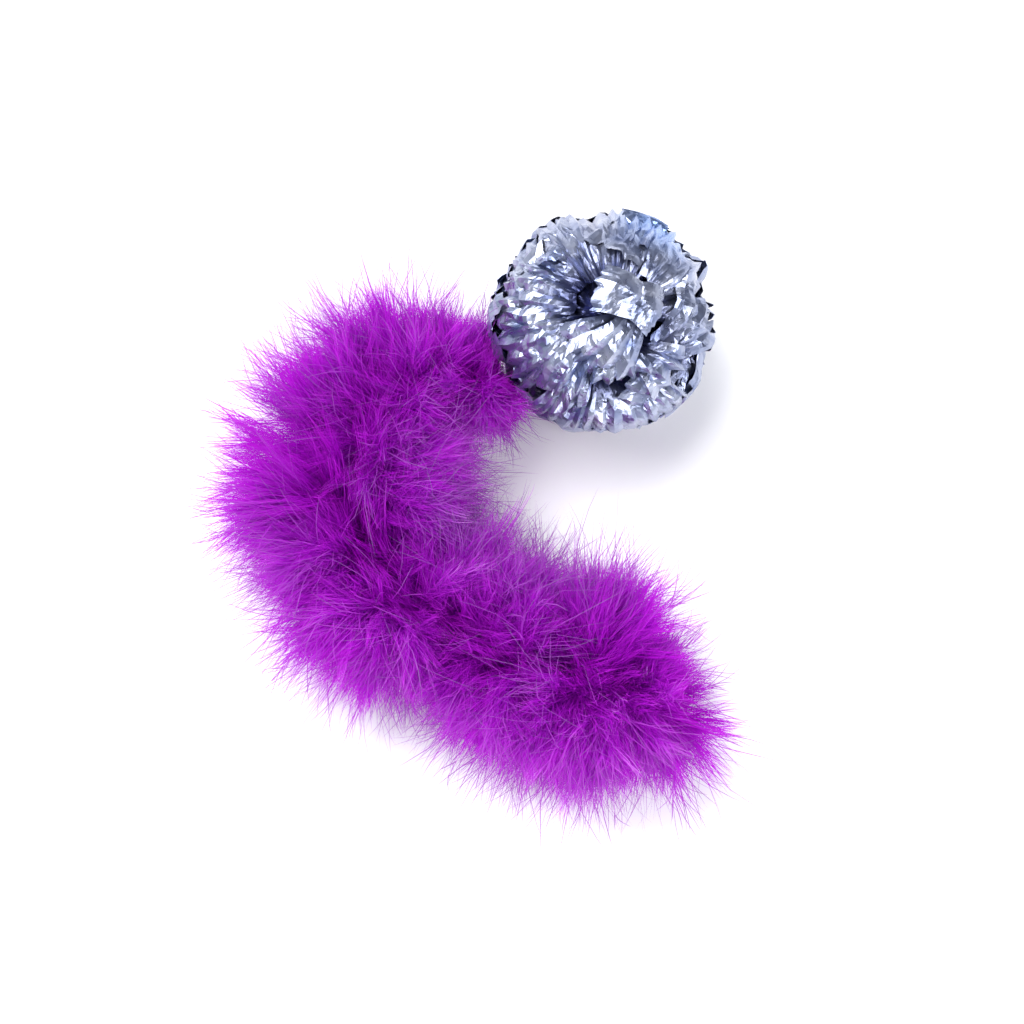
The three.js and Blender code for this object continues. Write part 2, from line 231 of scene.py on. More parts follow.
class Graph:
    """The node tree of a material or of the sky, filled by one method."""

    def __init__(self, owner: bpy.types.Material | bpy.types.World) -> None:
        """Empties the owner's node tree.

        Args:
            owner: The material or the sky that the nodes are for.
        """
        self.owner = owner
        owner.use_nodes = True
        self.tree = owner.node_tree
        self.tree.nodes.clear()

    @classmethod
    def of_material(cls, name: str) -> Graph:
        """Starts an empty material of that name."""
        return cls(bpy.data.materials.new(name))

    def node(
        self, kind: str, settings: dict | None = None, inputs: dict | None = None, out: int | str = 0
    ) -> Field:
        """Adds a node.

        Args:
            kind: The node's type, such as ShaderNodeTexNoise.
            settings: Attributes that are set first; stops sets a ramp's colours.
            inputs: Values or links for its sockets, by name or number.
            out: The output to return.

        Returns:
            The output, ready for sums.
        """
        made = self.tree.nodes.new(kind)
        for key, value in (settings or {}).items():
            if key == "stops":
                self._set_stops(made.color_ramp, value)
            else:
                setattr(made, key, value)
        for key, value in (inputs or {}).items():
            if isinstance(value, Field):
                self.tree.links.new(value.socket, made.inputs[key])
            else:
                made.inputs[key].default_value = value
        return Field(self, made.outputs[out])

    @staticmethod
    def _set_stops(ramp: bpy.types.ColorRamp, stops: list[tuple[float, Colour]]) -> None:
        """Gives a ramp its stops.

        Args:
            ramp: The ramp.
            stops: Its places and their colours.
        """
        while len(ramp.elements) < len(stops):
            ramp.elements.new(1.0)
        for element, (place, colour) in zip(ramp.elements, stops, strict=True):
            element.position = place
            element.color = (*colour, 1.0)

    def place(self) -> Field:
        """Object coordinates."""
        return self.node("ShaderNodeTexCoord", out="Object")

    def noise(self, vector: Field, scale: float, detail: float, dimensions: str = "3D") -> Field:
        """Soft noise near 0.5, with so many waves to a metre or to a map's side."""
        inputs = {"Vector": vector, "Scale": scale, "Detail": detail}
        return self.node("ShaderNodeTexNoise", {"noise_dimensions": dimensions}, inputs)

    def distance(self, place: Field, point: Place) -> Field:
        """How far a place is from a point."""
        inputs = {0: place, 1: point}
        return self.node("ShaderNodeVectorMath", {"operation": "DISTANCE"}, inputs, out="Value")

    def bump(self, height: Field, strength: float, distance: float) -> Field:
        """The normal of a skin that a height raises by up to a distance."""
        inputs = {"Height": height, "Strength": strength, "Distance": distance}
        return self.node("ShaderNodeBump", None, inputs)

    def mix(self, share: Field | float, first: Field | Colour, second: Field | Colour) -> Field:
        """The colour between two colours.

        Args:
            share: 0 gives the first, 1 the second.
            first: A colour or a link.
            second: A colour or a link.

        Returns:
            The mixed colour.
        """
        ends = [value if isinstance(value, Field) else (*value, 1.0) for value in (first, second)]
        inputs = {0: share, 6: ends[0], 7: ends[1]}
        return self.node("ShaderNodeMix", {"data_type": "RGBA"}, inputs, out=2)

    def ramp(self, value: Field, stops: list[tuple[float, Colour]]) -> Field:
        """A colour ramp read at a value."""
        return self.node("ShaderNodeValToRGB", {"stops": stops}, {0: value})

    def skin(self, colour: Field, roughness: Field | float, others: dict) -> Field:
        """The skin shader with a colour, a roughness and its other sockets by name."""
        inputs = {"Base Color": colour, "Roughness": roughness}
        return self.node("ShaderNodeBsdfPrincipled", None, inputs | others)

    def finish(self, shader: Field) -> bpy.types.Material | bpy.types.World:
        """Feeds a shader to the surface.

        Args:
            shader: The last node's output.

        Returns:
            The owner.
        """
        kind = "World" if isinstance(self.owner, bpy.types.World) else "Material"
        end = self.tree.nodes.new(f"ShaderNodeOutput{kind}")
        self.tree.links.new(shader.socket, end.inputs["Surface"])
        return self.owner


@dataclass
class Field:
    """A socket's value as a term in sums: operators on it add Math nodes."""

    graph: Graph
    socket: bpy.types.NodeSocket

    def _math(self, operation: str, first: Field | float, second: Field | float) -> Field:
        """Adds one Math node for an operation on two terms."""
        return self.graph.node("ShaderNodeMath", {"operation": operation}, {0: first, 1: second})

    def __add__(self, other: Field | float) -> Field:
        """This plus other."""
        return self._math("ADD", self, other)

    __radd__ = __add__

    def __sub__(self, other: Field | float) -> Field:
        """This minus other."""
        return self._math("SUBTRACT", self, other)

    def __rsub__(self, other: float) -> Field:
        """A number minus this."""
        return self._math("SUBTRACT", other, self)

    def __mul__(self, other: Field | float) -> Field:
        """This times other."""
        return self._math("MULTIPLY", self, other)

    __rmul__ = __mul__

    def below(self, limit: float) -> Field:
        """1 where this is less than a limit, and 0 elsewhere."""
        return self._math("LESS_THAN", self, limit)

    def power(self, exponent: float) -> Field:
        """This to a power."""
        return self._math("POWER", self, exponent)


# ---------------------------------------------------------------- finishes


@dataclass(frozen=True)
class PlumeFinish:
    """Dyed marabou down. Its colour is read from each barb's own map: across is its tone, up is its depth.

    dark, light and dusky are the colours of dull, bright and stray barbs at the depths in places, and through
    is the share of the light that passes through a barb there. Dark and light are painted darker towards the
    cord, which is painted shade inside the plumes, and paler towards the tips, which is painted light on the
    fringe.
    """

    dark: Colours = ((0.17, 0.0, 0.21), (0.36, 0.0, 0.47), (0.50, 0.0, 0.65), (0.64, 0.20, 0.80))
    light: Colours = ((0.27, 0.0, 0.31), (0.49, 0.0, 0.59), (0.75, 0.08, 0.85), (0.88, 0.50, 0.92))
    dusky: Colours = ((0.24, 0.001, 0.30), (0.46, 0.01, 0.58), (0.48, 0.12, 0.60), (0.24, 0.17, 0.30))
    places: Numbers = (0.0, 0.34, 0.68, 0.92)
    wisp_share: float = 0.125
    through: Numbers = (0.34, 0.54, 0.60, 0.44)
    through_colour: Colour = (0.60, 0.014, 0.735)
    streaks: float = 46.0
    streak_contrast: float = 0.24
    streak_middle: float = 0.14
    root_roughness: float = 0.86
    tip_sheen: float = 0.22
    gloss: float = 0.06

    def _by_depth(self, graph: Graph, depth: Field, colours: Colours) -> Field:
        """Colours at the places, read at a depth."""
        return graph.ramp(depth, list(zip(self.places, colours, strict=True)))

    def material(self) -> bpy.types.Material:
        """A rough fibre that lets some light through it."""
        graph = Graph.of_material("dyed_down_painted_shade")
        own_map = graph.node("ShaderNodeUVMap", {"uv_map": BAKE_MAP})
        tone, depth = (graph.node("ShaderNodeSeparateXYZ", None, {0: own_map}, out=axis) for axis in (0, 1))
        shades = (self.dark, self.light, self.dusky)
        # Painted shade and painted light: by depth these colours darken towards the cord and grow pale
        # towards the tips.
        dark, light, dusky = (self._by_depth(graph, depth, colours) for colours in shades)
        streak = graph.noise(own_map, self.streaks, 1.0, "2D")
        shade = graph.mix(tone + self.streak_contrast * streak - self.streak_middle, dark, light)
        colour = graph.mix(tone.below(self.wisp_share), shade, dusky)
        roughness = self.root_roughness - self.tip_sheen * depth
        fibre = graph.skin(colour, roughness, {"Specular IOR Level": self.gloss})
        glow = graph.node("ShaderNodeBsdfTranslucent", None, {"Color": (*self.through_colour, 1.0)})
        thin = self._by_depth(graph, depth, tuple((share,) * 3 for share in self.through))
        return graph.finish(graph.node("ShaderNodeMixShader", None, {0: thin, 1: fibre, 2: glow}))


@dataclass(frozen=True)
class FilmFinish:
    """Metallised film: a mirror skin with fine creases, cool in clouds, and with painted shade where the
    folds sink in.

    middle is the ball's centre: the film is painted darkest, as shade in the folds, up to the shade radius
    from it. One patch is bluer.
    """

    bright: Colour = (0.48, 0.505, 0.60)
    cool: Colour = (0.15, 0.19, 0.35)
    blue: Colour = (0.12, 0.36, 0.92)
    patch_at: Place = (0.0375, 0.0560, 0.036)
    patch_fade: float = 90.0
    patch_share: float = 0.6
    middle: Place = (0.0, 0.0, 0.0)
    painted_fold_shade: Colour = (0.07, 0.08, 0.19)
    painted_shade_radius: float = 19.2 * MM
    painted_shade_fade: float = 210.0
    clouds_per_metre: float = 160.0
    cloud_contrast: float = 1.8
    cloud_shift: float = 0.4
    grains_per_metre: float = 900.0
    grain_relief: float = 0.12
    creases_per_metre: float = 420.0
    crease_sharpness: float = 0.6
    crease_strength: float = 0.25
    crease_height: float = 0.25 * MM
    metal: float = 0.90
    roughness: float = 0.20

    def material(self) -> bpy.types.Material:
        """A metal whose roughness and colour drift, with creases as bumps."""
        graph = Graph.of_material("metallised_film")
        place = graph.place()
        cloud = graph.noise(place, self.clouds_per_metre, 2.0)
        grain = graph.noise(place, self.grains_per_metre, 2.0)
        inputs = {"Vector": place, "Scale": self.creases_per_metre}
        crease = graph.node("ShaderNodeTexVoronoi", {"feature": "DISTANCE_TO_EDGE"}, inputs)
        relief = crease.power(self.crease_sharpness) + self.grain_relief * grain
        bump = graph.bump(relief, self.crease_strength, self.crease_height)
        colour = graph.mix(self.cloud_contrast * cloud - self.cloud_shift, self.cool, self.bright)
        near_patch = 1.0 - self.patch_fade * graph.distance(place, self.patch_at)
        colour = graph.mix(near_patch * self.patch_share, colour, self.blue)
        # Painted shade: the colour darkens towards the ball's centre, in the hollows of the folds.
        height = graph.distance(place, self.middle) - self.painted_shade_radius
        colour = graph.mix(height * self.painted_shade_fade, self.painted_fold_shade, colour)
        roughness = self.roughness + self.roughness * grain
        return graph.finish(graph.skin(colour, roughness, {"Metallic": self.metal, "Normal": bump}))


@dataclass(frozen=True)
class FibreFinish:
    """Twisted or wound fibre: cord, thread and band, with slanting plies and a soft fuzz of tone."""

    name: str
    dark: Colour
    light: Colour
    twists_per_metre: float
    roughness: float = 0.85
    fuzz_per_metre: float = 1400.0
    ply_share: float = 0.7
    ply_height: float = 0.1 * MM

    def material(self) -> bpy.types.Material:
        """A matt fibre with plies as a wave in its colour and its relief."""
        graph = Graph.of_material(self.name)
        place = graph.place()
        inputs = {"Vector": place, "Scale": self.twists_per_metre, "Distortion": 1.5, "Detail": 2.0}
        ply = graph.node("ShaderNodeTexWave", {"bands_direction": "DIAGONAL"}, inputs, out="Fac")
        fuzz = graph.noise(place, self.fuzz_per_metre, 3.0)
        bump = graph.bump(ply + 0.5 * fuzz, 0.6, self.ply_height)
        colour = graph.mix(self.ply_share * ply + (1.0 - self.ply_share) * fuzz, self.dark, self.light)
        return graph.finish(graph.skin(colour, self.roughness - 0.15 * fuzz, {"Normal": bump}))


@dataclass(frozen=True)
class QuillFinish:
    """Dyed quill: smooth horn, paler where the dye took less."""

    dark: Colour = (0.30, 0.05, 0.38)
    light: Colour = (0.62, 0.30, 0.70)
    streaks_per_metre: float = 700.0
    streak_height: float = 0.05 * MM
    roughness: float = 0.35

    def material(self) -> bpy.types.Material:
        """A satin horn with fine streaks."""
        graph = Graph.of_material("dyed_quill")
        streak = graph.noise(graph.place(), self.streaks_per_metre, 3.0)
        bump = graph.bump(streak, 0.3, self.streak_height)
        colour = graph.mix(streak, self.dark, self.light)
        return graph.finish(graph.skin(colour, self.roughness + 0.2 * streak, {"Normal": bump}))


@dataclass(frozen=True)
class PaperFinish:
    """The plain pale surface that the toy lies on. From lit_from on it gets brighter with distance."""

    tone: float = 0.90
    grain_tone: float = 0.01
    grains_per_metre: float = 60.0
    far_light: Colour = (0.78, 0.80, 0.85)
    lit_from: float = 0.30
    lit_per_metre: float = 1.3

    def material(self) -> bpy.types.Material:
        """A matt near-white with the faintest grain."""
        graph = Graph.of_material("pale_paper")
        place = graph.place()
        grain = graph.noise(place, self.grains_per_metre, 3.0)
        low, high = ((self.tone + shift,) * 3 for shift in (-self.grain_tone, self.grain_tone))
        away = graph.distance(place, (0.0, 0.0, 0.0)) - self.lit_from
        far = graph.mix(away * self.lit_per_metre, (0.0, 0.0, 0.0), self.far_light)
        others = {"Specular IOR Level": 0.2, "Emission Color": far, "Emission Strength": 1.0}
        return graph.finish(graph.skin(graph.mix(grain, low, high), 0.9, others))


def dress(piece: bpy.types.Object, material: bpy.types.Material) -> None:
    """Puts one material on all of a piece.

    Args:
        piece: A new piece or a carried-over CAD node.
        material: Its finish.
    """
    if piece.material_slots:
        for slot in piece.material_slots:
            slot.material = material
    else:
        piece.data.materials.append(material)


# ---------------------------------------------------------------- the cord's route


def joint_place(name: str) -> Array:
    """The point in metres that a joint turns about."""
    return np.array(next(joint["pos_m"] for joint in frame["joints"] if joint["name"] == name), float)


class Route:
    """The tail's cord: a smooth curve through listed points, from the knot beside the ball."""

    # Each point is (x, y, rise) in metres from the knot, where rise counts from the knot's own height.
    POINTS = (
        (0.0, 0.0, 0.0),
        (-0.0055, 0.0007, -0.0008),
        (-0.0110, -0.0001, -0.0015),
        (-0.0168, -0.0022, -0.0020),
        (-0.0219, -0.0058, -0.0020),
        (-0.0258, -0.0108, -0.0020),
        (-0.0286, -0.0166, -0.0020),
        (-0.0300, -0.0226, -0.0020),
        (-0.0302, -0.0288, -0.0020),
        (-0.0291, -0.0350, -0.0020),
        (-0.0264, -0.0409, -0.0020),
        (-0.0225, -0.0462, -0.0020),
        (-0.0174, -0.0509, -0.0020),
        (-0.0114, -0.0549, -0.0020),
        (-0.0048, -0.0581, -0.0020),
        (0.0020, -0.0609, -0.0020),
        (0.0093, -0.0634, -0.0020),
        (0.0172, -0.0656, -0.0020),
        (0.0254, -0.0676, -0.0025),
        (0.0336, -0.0696, -0.0030),
    )
    STEPS = 40

    def __init__(self, start: Array) -> None:
        """Samples the curve: between two points it is the cubic whose slopes follow their neighbours.

        Args:
            start: The knot's place in the frame.
        """
        knots = start + np.array(self.POINTS)
        knots = np.concatenate([2 * knots[:1] - knots[1:2], knots, 2 * knots[-1:] - knots[-2:-1]])
        gap = np.sqrt(np.linalg.norm(np.diff(knots, axis=0), axis=1))[:, None]
        slope = np.diff(knots, axis=0) / gap
        lean = slope[:-1] + slope[1:] - (knots[2:] - knots[:-2]) / (gap[:-1] + gap[1:])
        share = np.linspace(0.0, 1.0, self.STEPS, endpoint=False)[None, :, None]
        first, second = knots[1:-2, None], knots[2:-1, None]
        out, into = (lean[:-1] * gap[1:-1])[:, None], (lean[1:] * gap[1:-1])[:, None]
        curve = (
            first * (2 * share**3 - 3 * share**2 + 1)
            + out * (share**3 - 2 * share**2 + share)
            + second * (3 * share**2 - 2 * share**3)
            + into * (share**3 - share**2)
        )
        self.points = np.concatenate([curve.reshape(-1, 3), knots[-2:-1]])
        steps = np.linalg.norm(np.diff(self.points, axis=0), axis=1)
        self.lengths = np.concatenate([[0.0], np.cumsum(steps)])
        self.length = float(self.lengths[-1])
        self.directions = unit(np.gradient(self.points, axis=0))

    def _read(self, table: Array, place: Array) -> Array:
        """A table along the curve, read at lengths from the knot."""
        return np.stack([np.interp(place, self.lengths, table[:, axis]) for axis in range(3)], axis=-1)

    def point(self, place: Array | float) -> Array:
        """Points on the cord at lengths from the knot, straight on past either end.

        Args:
            place: Lengths in metres.

        Returns:
            Points, shape (..., 3).
        """
        place = np.asarray(place, float)
        past = place - np.clip(place, 0.0, self.length)
        return self._read(self.points, place) + past[..., None] * self.along(place)

    def along(self, place: Array | float) -> Array:
        """The cord's direction at lengths from the knot."""
        return unit(self._read(self.directions, np.asarray(place, float)))

    def side(self, place: Array | float) -> Array:
        """The level direction square to the cord, on the left of its way."""
        return unit(np.cross(UP, self.along(place)))

    def over(self, place: Array | float) -> Array:
        """The direction square to the cord and to its side."""
        return np.cross(self.along(place), self.side(place))


# ---------------------------------------------------------------- the ball's place


@dataclass
class Ball:
    """Where the film ball is and which way its gathering axis points."""

    centre: Array
    radius: float
    tilt: float = math.radians(15.0)

    @classmethod
    def from_frame(cls) -> Ball:
        """Reads the ball's centre and radius from the boxes of its leaves."""
        boxes = [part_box(node) for node in frame["nodes"] if node.startswith("film_leaf")]
        low = np.min([np.array(box[0]) for box in boxes], axis=0)
        high = np.max([np.array(box[1]) for box in boxes], axis=0)
        radius = float(high[0] - low[0]) / 2
        middle = (low + high) / 2
        return cls(np.array([middle[0], middle[1], high[2] - radius]), radius)

    @property
    def axis(self) -> Array:
        """The gathering axis."""
        return np.array([0.0, -math.sin(self.tilt), math.cos(self.tilt)])

    @property
    def left(self) -> Array:
        """The first level direction round the axis."""
        return np.array([1.0, 0.0, 0.0])

    @property
    def back(self) -> Array:
        """The second direction round the axis."""
        return np.cross(self.axis, self.left)

    def direction(self, round_axis: Array | float, from_axis: Array | float) -> Array:
        """A unit vector at an angle round the axis and an angle down from it."""
        flat = np.cos(round_axis)[..., None] * self.left + np.sin(round_axis)[..., None] * self.back
        return np.sin(from_axis)[..., None] * flat + np.cos(from_axis)[..., None] * self.axis


# ---------------------------------------------------------------- the plume tail


class Coat(Enum):
    """The two layers that a stretch of tail is made of."""

    DOWN = "down"
    BARBS = "barbs"


@dataclass(frozen=True)
class Stretch:
    """One stretch of plumes, in shares of the tail's length, and the bodies that it lies on."""

    name: str
    start: float
    end: float
    tufts: tuple[int, ...]
    bodies: tuple[str, ...]


@dataclass(frozen=True)
class Quills:
    """Quills, one row for each: its root, its way, its bend, the plumes' reach there and its own length."""

    root: Array
    out: Array
    bend: Array
    reach: Array
    length: Array

    def point(self, which: Array, share: Array) -> Array:
        """Points on quills: root + length (t out + t^2 bend / 2)."""
        run = share[:, None] * self.out[which] + 0.5 * share[:, None] ** 2 * self.bend[which]
        return self.root[which] + self.length[which][:, None] * run


@dataclass(frozen=True)
class Strands:
    """Strands, one row for each: its control points, its place on the cord, the reach there and its tone."""

    first: Array
    middle: Array
    last: Array
    root: Array
    reach: Array
    tone: Array

    def line(self, which: Array, along: Array) -> Array:
        """Points on strands: first (1-t)^2 + 2 middle t (1-t) + last t^2."""
        first, middle, last = (ends[which][:, None] for ends in (self.first, self.middle, self.last))
        return first * (1 - along) ** 2 + 2 * middle * along * (1 - along) + last * along**2


@dataclass
class PlumeTail:
    """Marabou plumes: quills fan out from the cord, strands leave the quills, and barbs follow the strands.

    The reaches are in millimetres at the reach_places along the cord. Two numbers in one size are its lowest
    and highest, or its mean and its spread. Leans are in radians, and bends are shares of a quill's length.
    """

    route: Route
    ball: Ball
    finish: bpy.types.Material
    seed: int = 11
    # The outline.
    reach_places: Numbers = (0, 9, 16, 20, 28, 34, 39, 45, 55, 63, 71, 79, 84, 90, 97, 109, 117, 123, 130)
    outer_reach: Numbers = (
        (14, 17.5, 25, 31, 19.5, 27, 40, 32, 21, 27, 26.5, 15.5, 15, 16, 23.5, 23.5, 25.5, 19.5, 8)
    )
    inner_reach: Numbers = (
        (11.5, 15, 17, 18.5, 21, 23.5, 25.5, 25.5, 24.5, 24, 22, 23.5, 25.5, 28.5, 21, 24.5, 27.5, 14.5, 6)
    )
    lobe_height: float = 0.025
    lobe_waves: tuple[Numbers, ...] = ((4.1, 2.0, 0.0), (6.3, -1.0, 1.7), (2.6, 3.0, 0.0))
    longest: float = 39.5 * MM
    half_width: float = 63.5 * MM
    half_depth: float = 76.0 * MM
    ceiling: float = 53.0 * MM
    drawn_in: float = 0.75
    floor_gap: float = 0.25 * MM
    press_from: float = 4.0 * MM
    press_fade: float = 7.0 * MM
    ball_gap: float = 0.4 * MM
    # Partings between plumes: place in millimetres and angle in degrees, then their size and their push.
    partings: tuple[Numbers, ...] = ((38, 110), (50, 75), (63, 82), (84, 105), (108, 84), (120, 78))
    parting_length: float = 6.0
    parting_width: float = 0.55
    parting_turn: float = 0.55
    parting_lean: float = 0.75
    # Quills, and the fans that they open at the tail's two ends.
    quills_per_metre: float = 4200.0
    end_quills: int = 80
    turn_spread: float = 0.35
    lean: Numbers = (0.10, 0.24)
    fan_from: float = 10.0 * MM
    fan_outer: float = 0.57
    fan_level: float = 0.60
    fan_lean: Numbers = (0.0, 1.08)
    fan_reach: float = 14.5 * MM
    fan_inner_gain: float = 1.4
    back_from: float = 14.0 * MM
    back_lean: float = 0.44
    start_length: float = 11.0 * MM
    start_lean: Numbers = (0.3, 1.5)
    arched_share: float = 0.2
    arched_bend: float = 1.1
    arched_length: float = 0.92
    plain_bend: Numbers = (0.1, 0.5)
    plain_length: Numbers = (0.45, 0.86)
    sag: float = 0.10
    flop: Numbers = (0.4, 1.3)
    flop_out: float = 0.85
    flop_down: float = 0.55
    quill_radius: Numbers = (0.19 * MM, 0.06 * MM)
    # Strands.
    strands_per_quill: int = 9
    strand_from: float = 0.04
    strand_crowding: float = 0.85
    strand_angle: Numbers = (62.0, 9.0)
    strand_closing: float = 46.0
    strand_length: Numbers = (0.75, 1.25)
    strand_limit: Numbers = (-0.06, 0.06)
    loose_share: float = 0.38
    loose_length: float = 0.12
    # Barbs, and the long wisps among them.
    barb_width: float = 0.14 * MM
    barb_length: Numbers = (0.5, 1.13)
    barb_spread: float = 1.3 * MM
    barb_closing: float = 0.45
    barb_tone: float = 0.12
    frizz: float = 0.40 * MM
    wisps_per_quill: int = 22
    wisp_reach: float = 0.60
    wisp_least: float = 4.0 * MM
    wisp_spread: float = 0.45
    wisp_bow: Numbers = (0.2, 1.2)
    wisp_sag: float = 0.12
    tone_columns: int = 64
    wisp_columns: int = 8

    def stretches(self) -> list[Stretch]:
        """The tail cut at the middle of each body, so that every stretch crosses one joint at most."""
        inner = [
            Stretch(
                f"plumes_{joint}",
                (2 * joint - 1) / 10,
                (2 * joint + 1) / 10,
                (2 * joint, 2 * joint + 1),
                (f"tail_{joint}", f"tail_{joint + 1}"),
            )
            for joint in range(1, 5)
        ]
        first = Stretch("plumes_0", 0.01, 0.1, (1,), ("knot", "tail_1"))
        last = Stretch("plumes_5", 0.9, 1.0, (10,), ("tail_5",))
        return [first, *inner, last]

    def reach_at(self, place: Array, angle: Array) -> Array:
        """How far the plumes reach: two tables along the tail, for the C's outer and inner side, between them
        the cosine of the angle from the inner side, and all made uneven by a sum of slow sines.

        Each sine runs on place / pitch + turns x angle + phase, with the pitch in millimetres.

        Args:
            place: Lengths from the knot, in metres.
            angle: Angles round the cord.

        Returns:
            Lengths in metres.
        """
        run = place / MM
        outer = np.interp(run, self.reach_places, self.outer_reach)
        inner = np.interp(run, self.reach_places, self.inner_reach)
        share = 0.5 + 0.5 * np.cos(angle)
        lobe = sum(np.sin(run / pitch + turns * angle + phase) for pitch, turns, phase in self.lobe_waves)
        return (outer + (inner - outer) * share) * MM * (1.0 + self.lobe_height * lobe)

    def _parted(self, place: Array, angle: Array, lean: Array) -> tuple[Array, Array]:
        """Turns plumes away from the partings: each is moved by exp(-distance^2) in both directions.

        Args:
            place: Lengths from the knot.
            angle: Angles round the cord.
            lean: How far each plume leans along the tail.

        Returns:
            The new angles and leans.
        """
        for at, toward in self.partings:
            along = (place / MM - at) / self.parting_length
            turned = (angle - math.radians(toward) + math.pi) % (2 * math.pi) - math.pi
            push = np.exp(-(along**2) - (turned / self.parting_width) ** 2)
            angle = angle + self.parting_turn * push * np.sign(turned)
            lean = lean + self.parting_lean * push * np.sign(along)
        return angle, lean

    def _quills(self, stretch: Stretch, rng: np.random.Generator) -> Quills:
        """Quills: each starts on the cord, points out and a little along it, and bends.

        At the free end they lean on past it, but those of the inner side lean back, as they do at the knot.
        Quills on top flop over to the nearer side.

        Args:
            stretch: The stretch that they stand on.
            rng: Source of chance.

        Returns:
            The quills.
        """
        length = self.route.length
        low, high = stretch.start * length, stretch.end * length
        count = int(round((high - low) * self.quills_per_metre)) + self.end_quills * (stretch.end == 1.0)
        place = low + (np.arange(count) + rng.uniform(0.0, 1.0, count)) / count * (high - low)
        angle = np.arange(count) * GOLDEN_ANGLE + rng.normal(0.0, self.turn_spread, count)
        inward = np.cos(angle) ** 3
        ending = smooth(place, length - self.fan_from, length) * (self.fan_level - self.fan_outer * inward)
        starting = smooth(-place, -self.start_length, 0.0) * (0.5 + 0.5 * np.cos(angle))
        lean = rng.normal(*self.lean, count) + ending * rng.uniform(*self.fan_lean, count)
        lean = lean - starting * rng.uniform(*self.start_lean, count)
        backward = smooth(place, length - self.back_from, length) * np.maximum(inward, 0.0)
        lean = lean - self.back_lean * backward
        angle, lean = self._parted(place, angle, lean)
        side, over = self.route.side(place), self.route.over(place)
        radial = side * np.cos(angle)[:, None] + over * np.sin(angle)[:, None]
        out = unit(radial * np.cos(lean)[:, None] + self.route.along(place) * np.sin(lean)[:, None])
        gain = 1.0 + self.fan_inner_gain * np.maximum(np.cos(angle), 0.0)
        reach = self.reach_at(place, angle) + self.fan_reach * ending * np.sin(lean) * gain
        arched = rng.uniform(0.0, 1.0, count) < self.arched_share
        bend = across(out, rng)
        bend = bend * np.where(arched, self.arched_bend, rng.uniform(*self.plain_bend, count))[:, None]
        flop = (smooth(np.sin(angle), 0.1, 0.9) * rng.uniform(*self.flop, count))[:, None]
        fall = self.flop_out * side * np.sign(np.cos(angle))[:, None] - self.flop_down * UP
        bend = bend - self.sag * UP + flop * fall
        own = reach * np.where(arched, self.arched_length, rng.uniform(*self.plain_length, count))
        return Quills(self.route.point(place), out, bend, reach, own)

    def _strands(self, quills: Quills, rng: np.random.Generator) -> Strands:
        """Strands leave a quill wide near its root and close to its line near its tip, then turn outwards.

        Args:
            quills: The quills.
            rng: Source of chance.

        Returns:
            The strands.
        """
        count = len(quills.root) * self.strands_per_quill
        which = np.arange(count) % len(quills.root)
        share = rng.uniform(self.strand_from, 1.0, count) ** self.strand_crowding
        root, reach = quills.root[which], quills.reach[which]
        first = quills.point(which, share)
        line = unit(quills.out[which] + share[:, None] * quills.bend[which])
        opening, spread = self.strand_angle
        turn = np.radians(opening - self.strand_closing * share + rng.normal(0.0, spread, count))
        away = unit(line * np.cos(turn)[:, None] + across(line, rng) * np.sin(turn)[:, None])
        length = reach * (0.86 - 0.42 * share) * rng.uniform(*self.strand_length, count)
        middle = first + 0.5 * length[:, None] * away
        outward = unit(middle - root)
        turned = unit(0.45 * away + 0.65 * outward + 0.16 * rng.normal(size=(count, 3)))
        last = middle + 0.5 * length[:, None] * turned
        loose = self.loose_length * rng.exponential(1.0, count)
        loose = loose * (rng.uniform(0.0, 1.0, count) < self.loose_share)
        limit = np.minimum(reach * (1.0 + rng.normal(*self.strand_limit, count) + loose), self.longest)
        shrink = np.minimum(1.0, limit / np.linalg.norm(last - root, axis=1))[:, None]
        first, middle, last = (root + (point - root) * shrink for point in (first, middle, last))
        return Strands(first, middle, last, root, reach, rng.uniform(0.15, 0.85, count))

    def _barbs(self, strands: Strands, per_strand: int, rng: np.random.Generator) -> tuple[Array, ...]:
        """Barbs: each runs along its strand's curve with its own offset, which closes up towards the tip.

        Args:
            strands: The strands.
            per_strand: Barbs on each strand.
            rng: Source of chance.

        Returns:
            Points, triangles and map places.
        """
        count = len(strands.first) * per_strand
        which = np.repeat(np.arange(len(strands.first)), per_strand)
        stations = np.array([0.0, 0.34, 0.66, 0.88, 1.0])
        along = (stations[None, :] * rng.uniform(*self.barb_length, count)[:, None])[..., None]
        spread = rng.normal(0.0, self.barb_spread, (count, 1, 3)) * (1 - self.barb_closing * along)
        waver = rng.normal(0.0, 1.0, (count, 1, 3))
        waves, phase = rng.uniform(0.5, 1.4, (count, 1, 1)), rng.uniform(0, 1, (count, 1, 1))
        waver = waver * np.sin(2 * math.pi * (along * waves + phase))
        line = strands.line(which, along) + spread + self.frizz * waver * along
        tone = np.clip(strands.tone[which] + rng.normal(0.0, self.barb_tone, count), 0.0, 1.0)
        column = self.wisp_columns + tone * (self.tone_columns - self.wisp_columns - 1)
        width = self.barb_width * rng.uniform(0.6, 1.35, count)
        return self._ribbons(line, strands.root[which], strands.reach[which], width, column, rng)

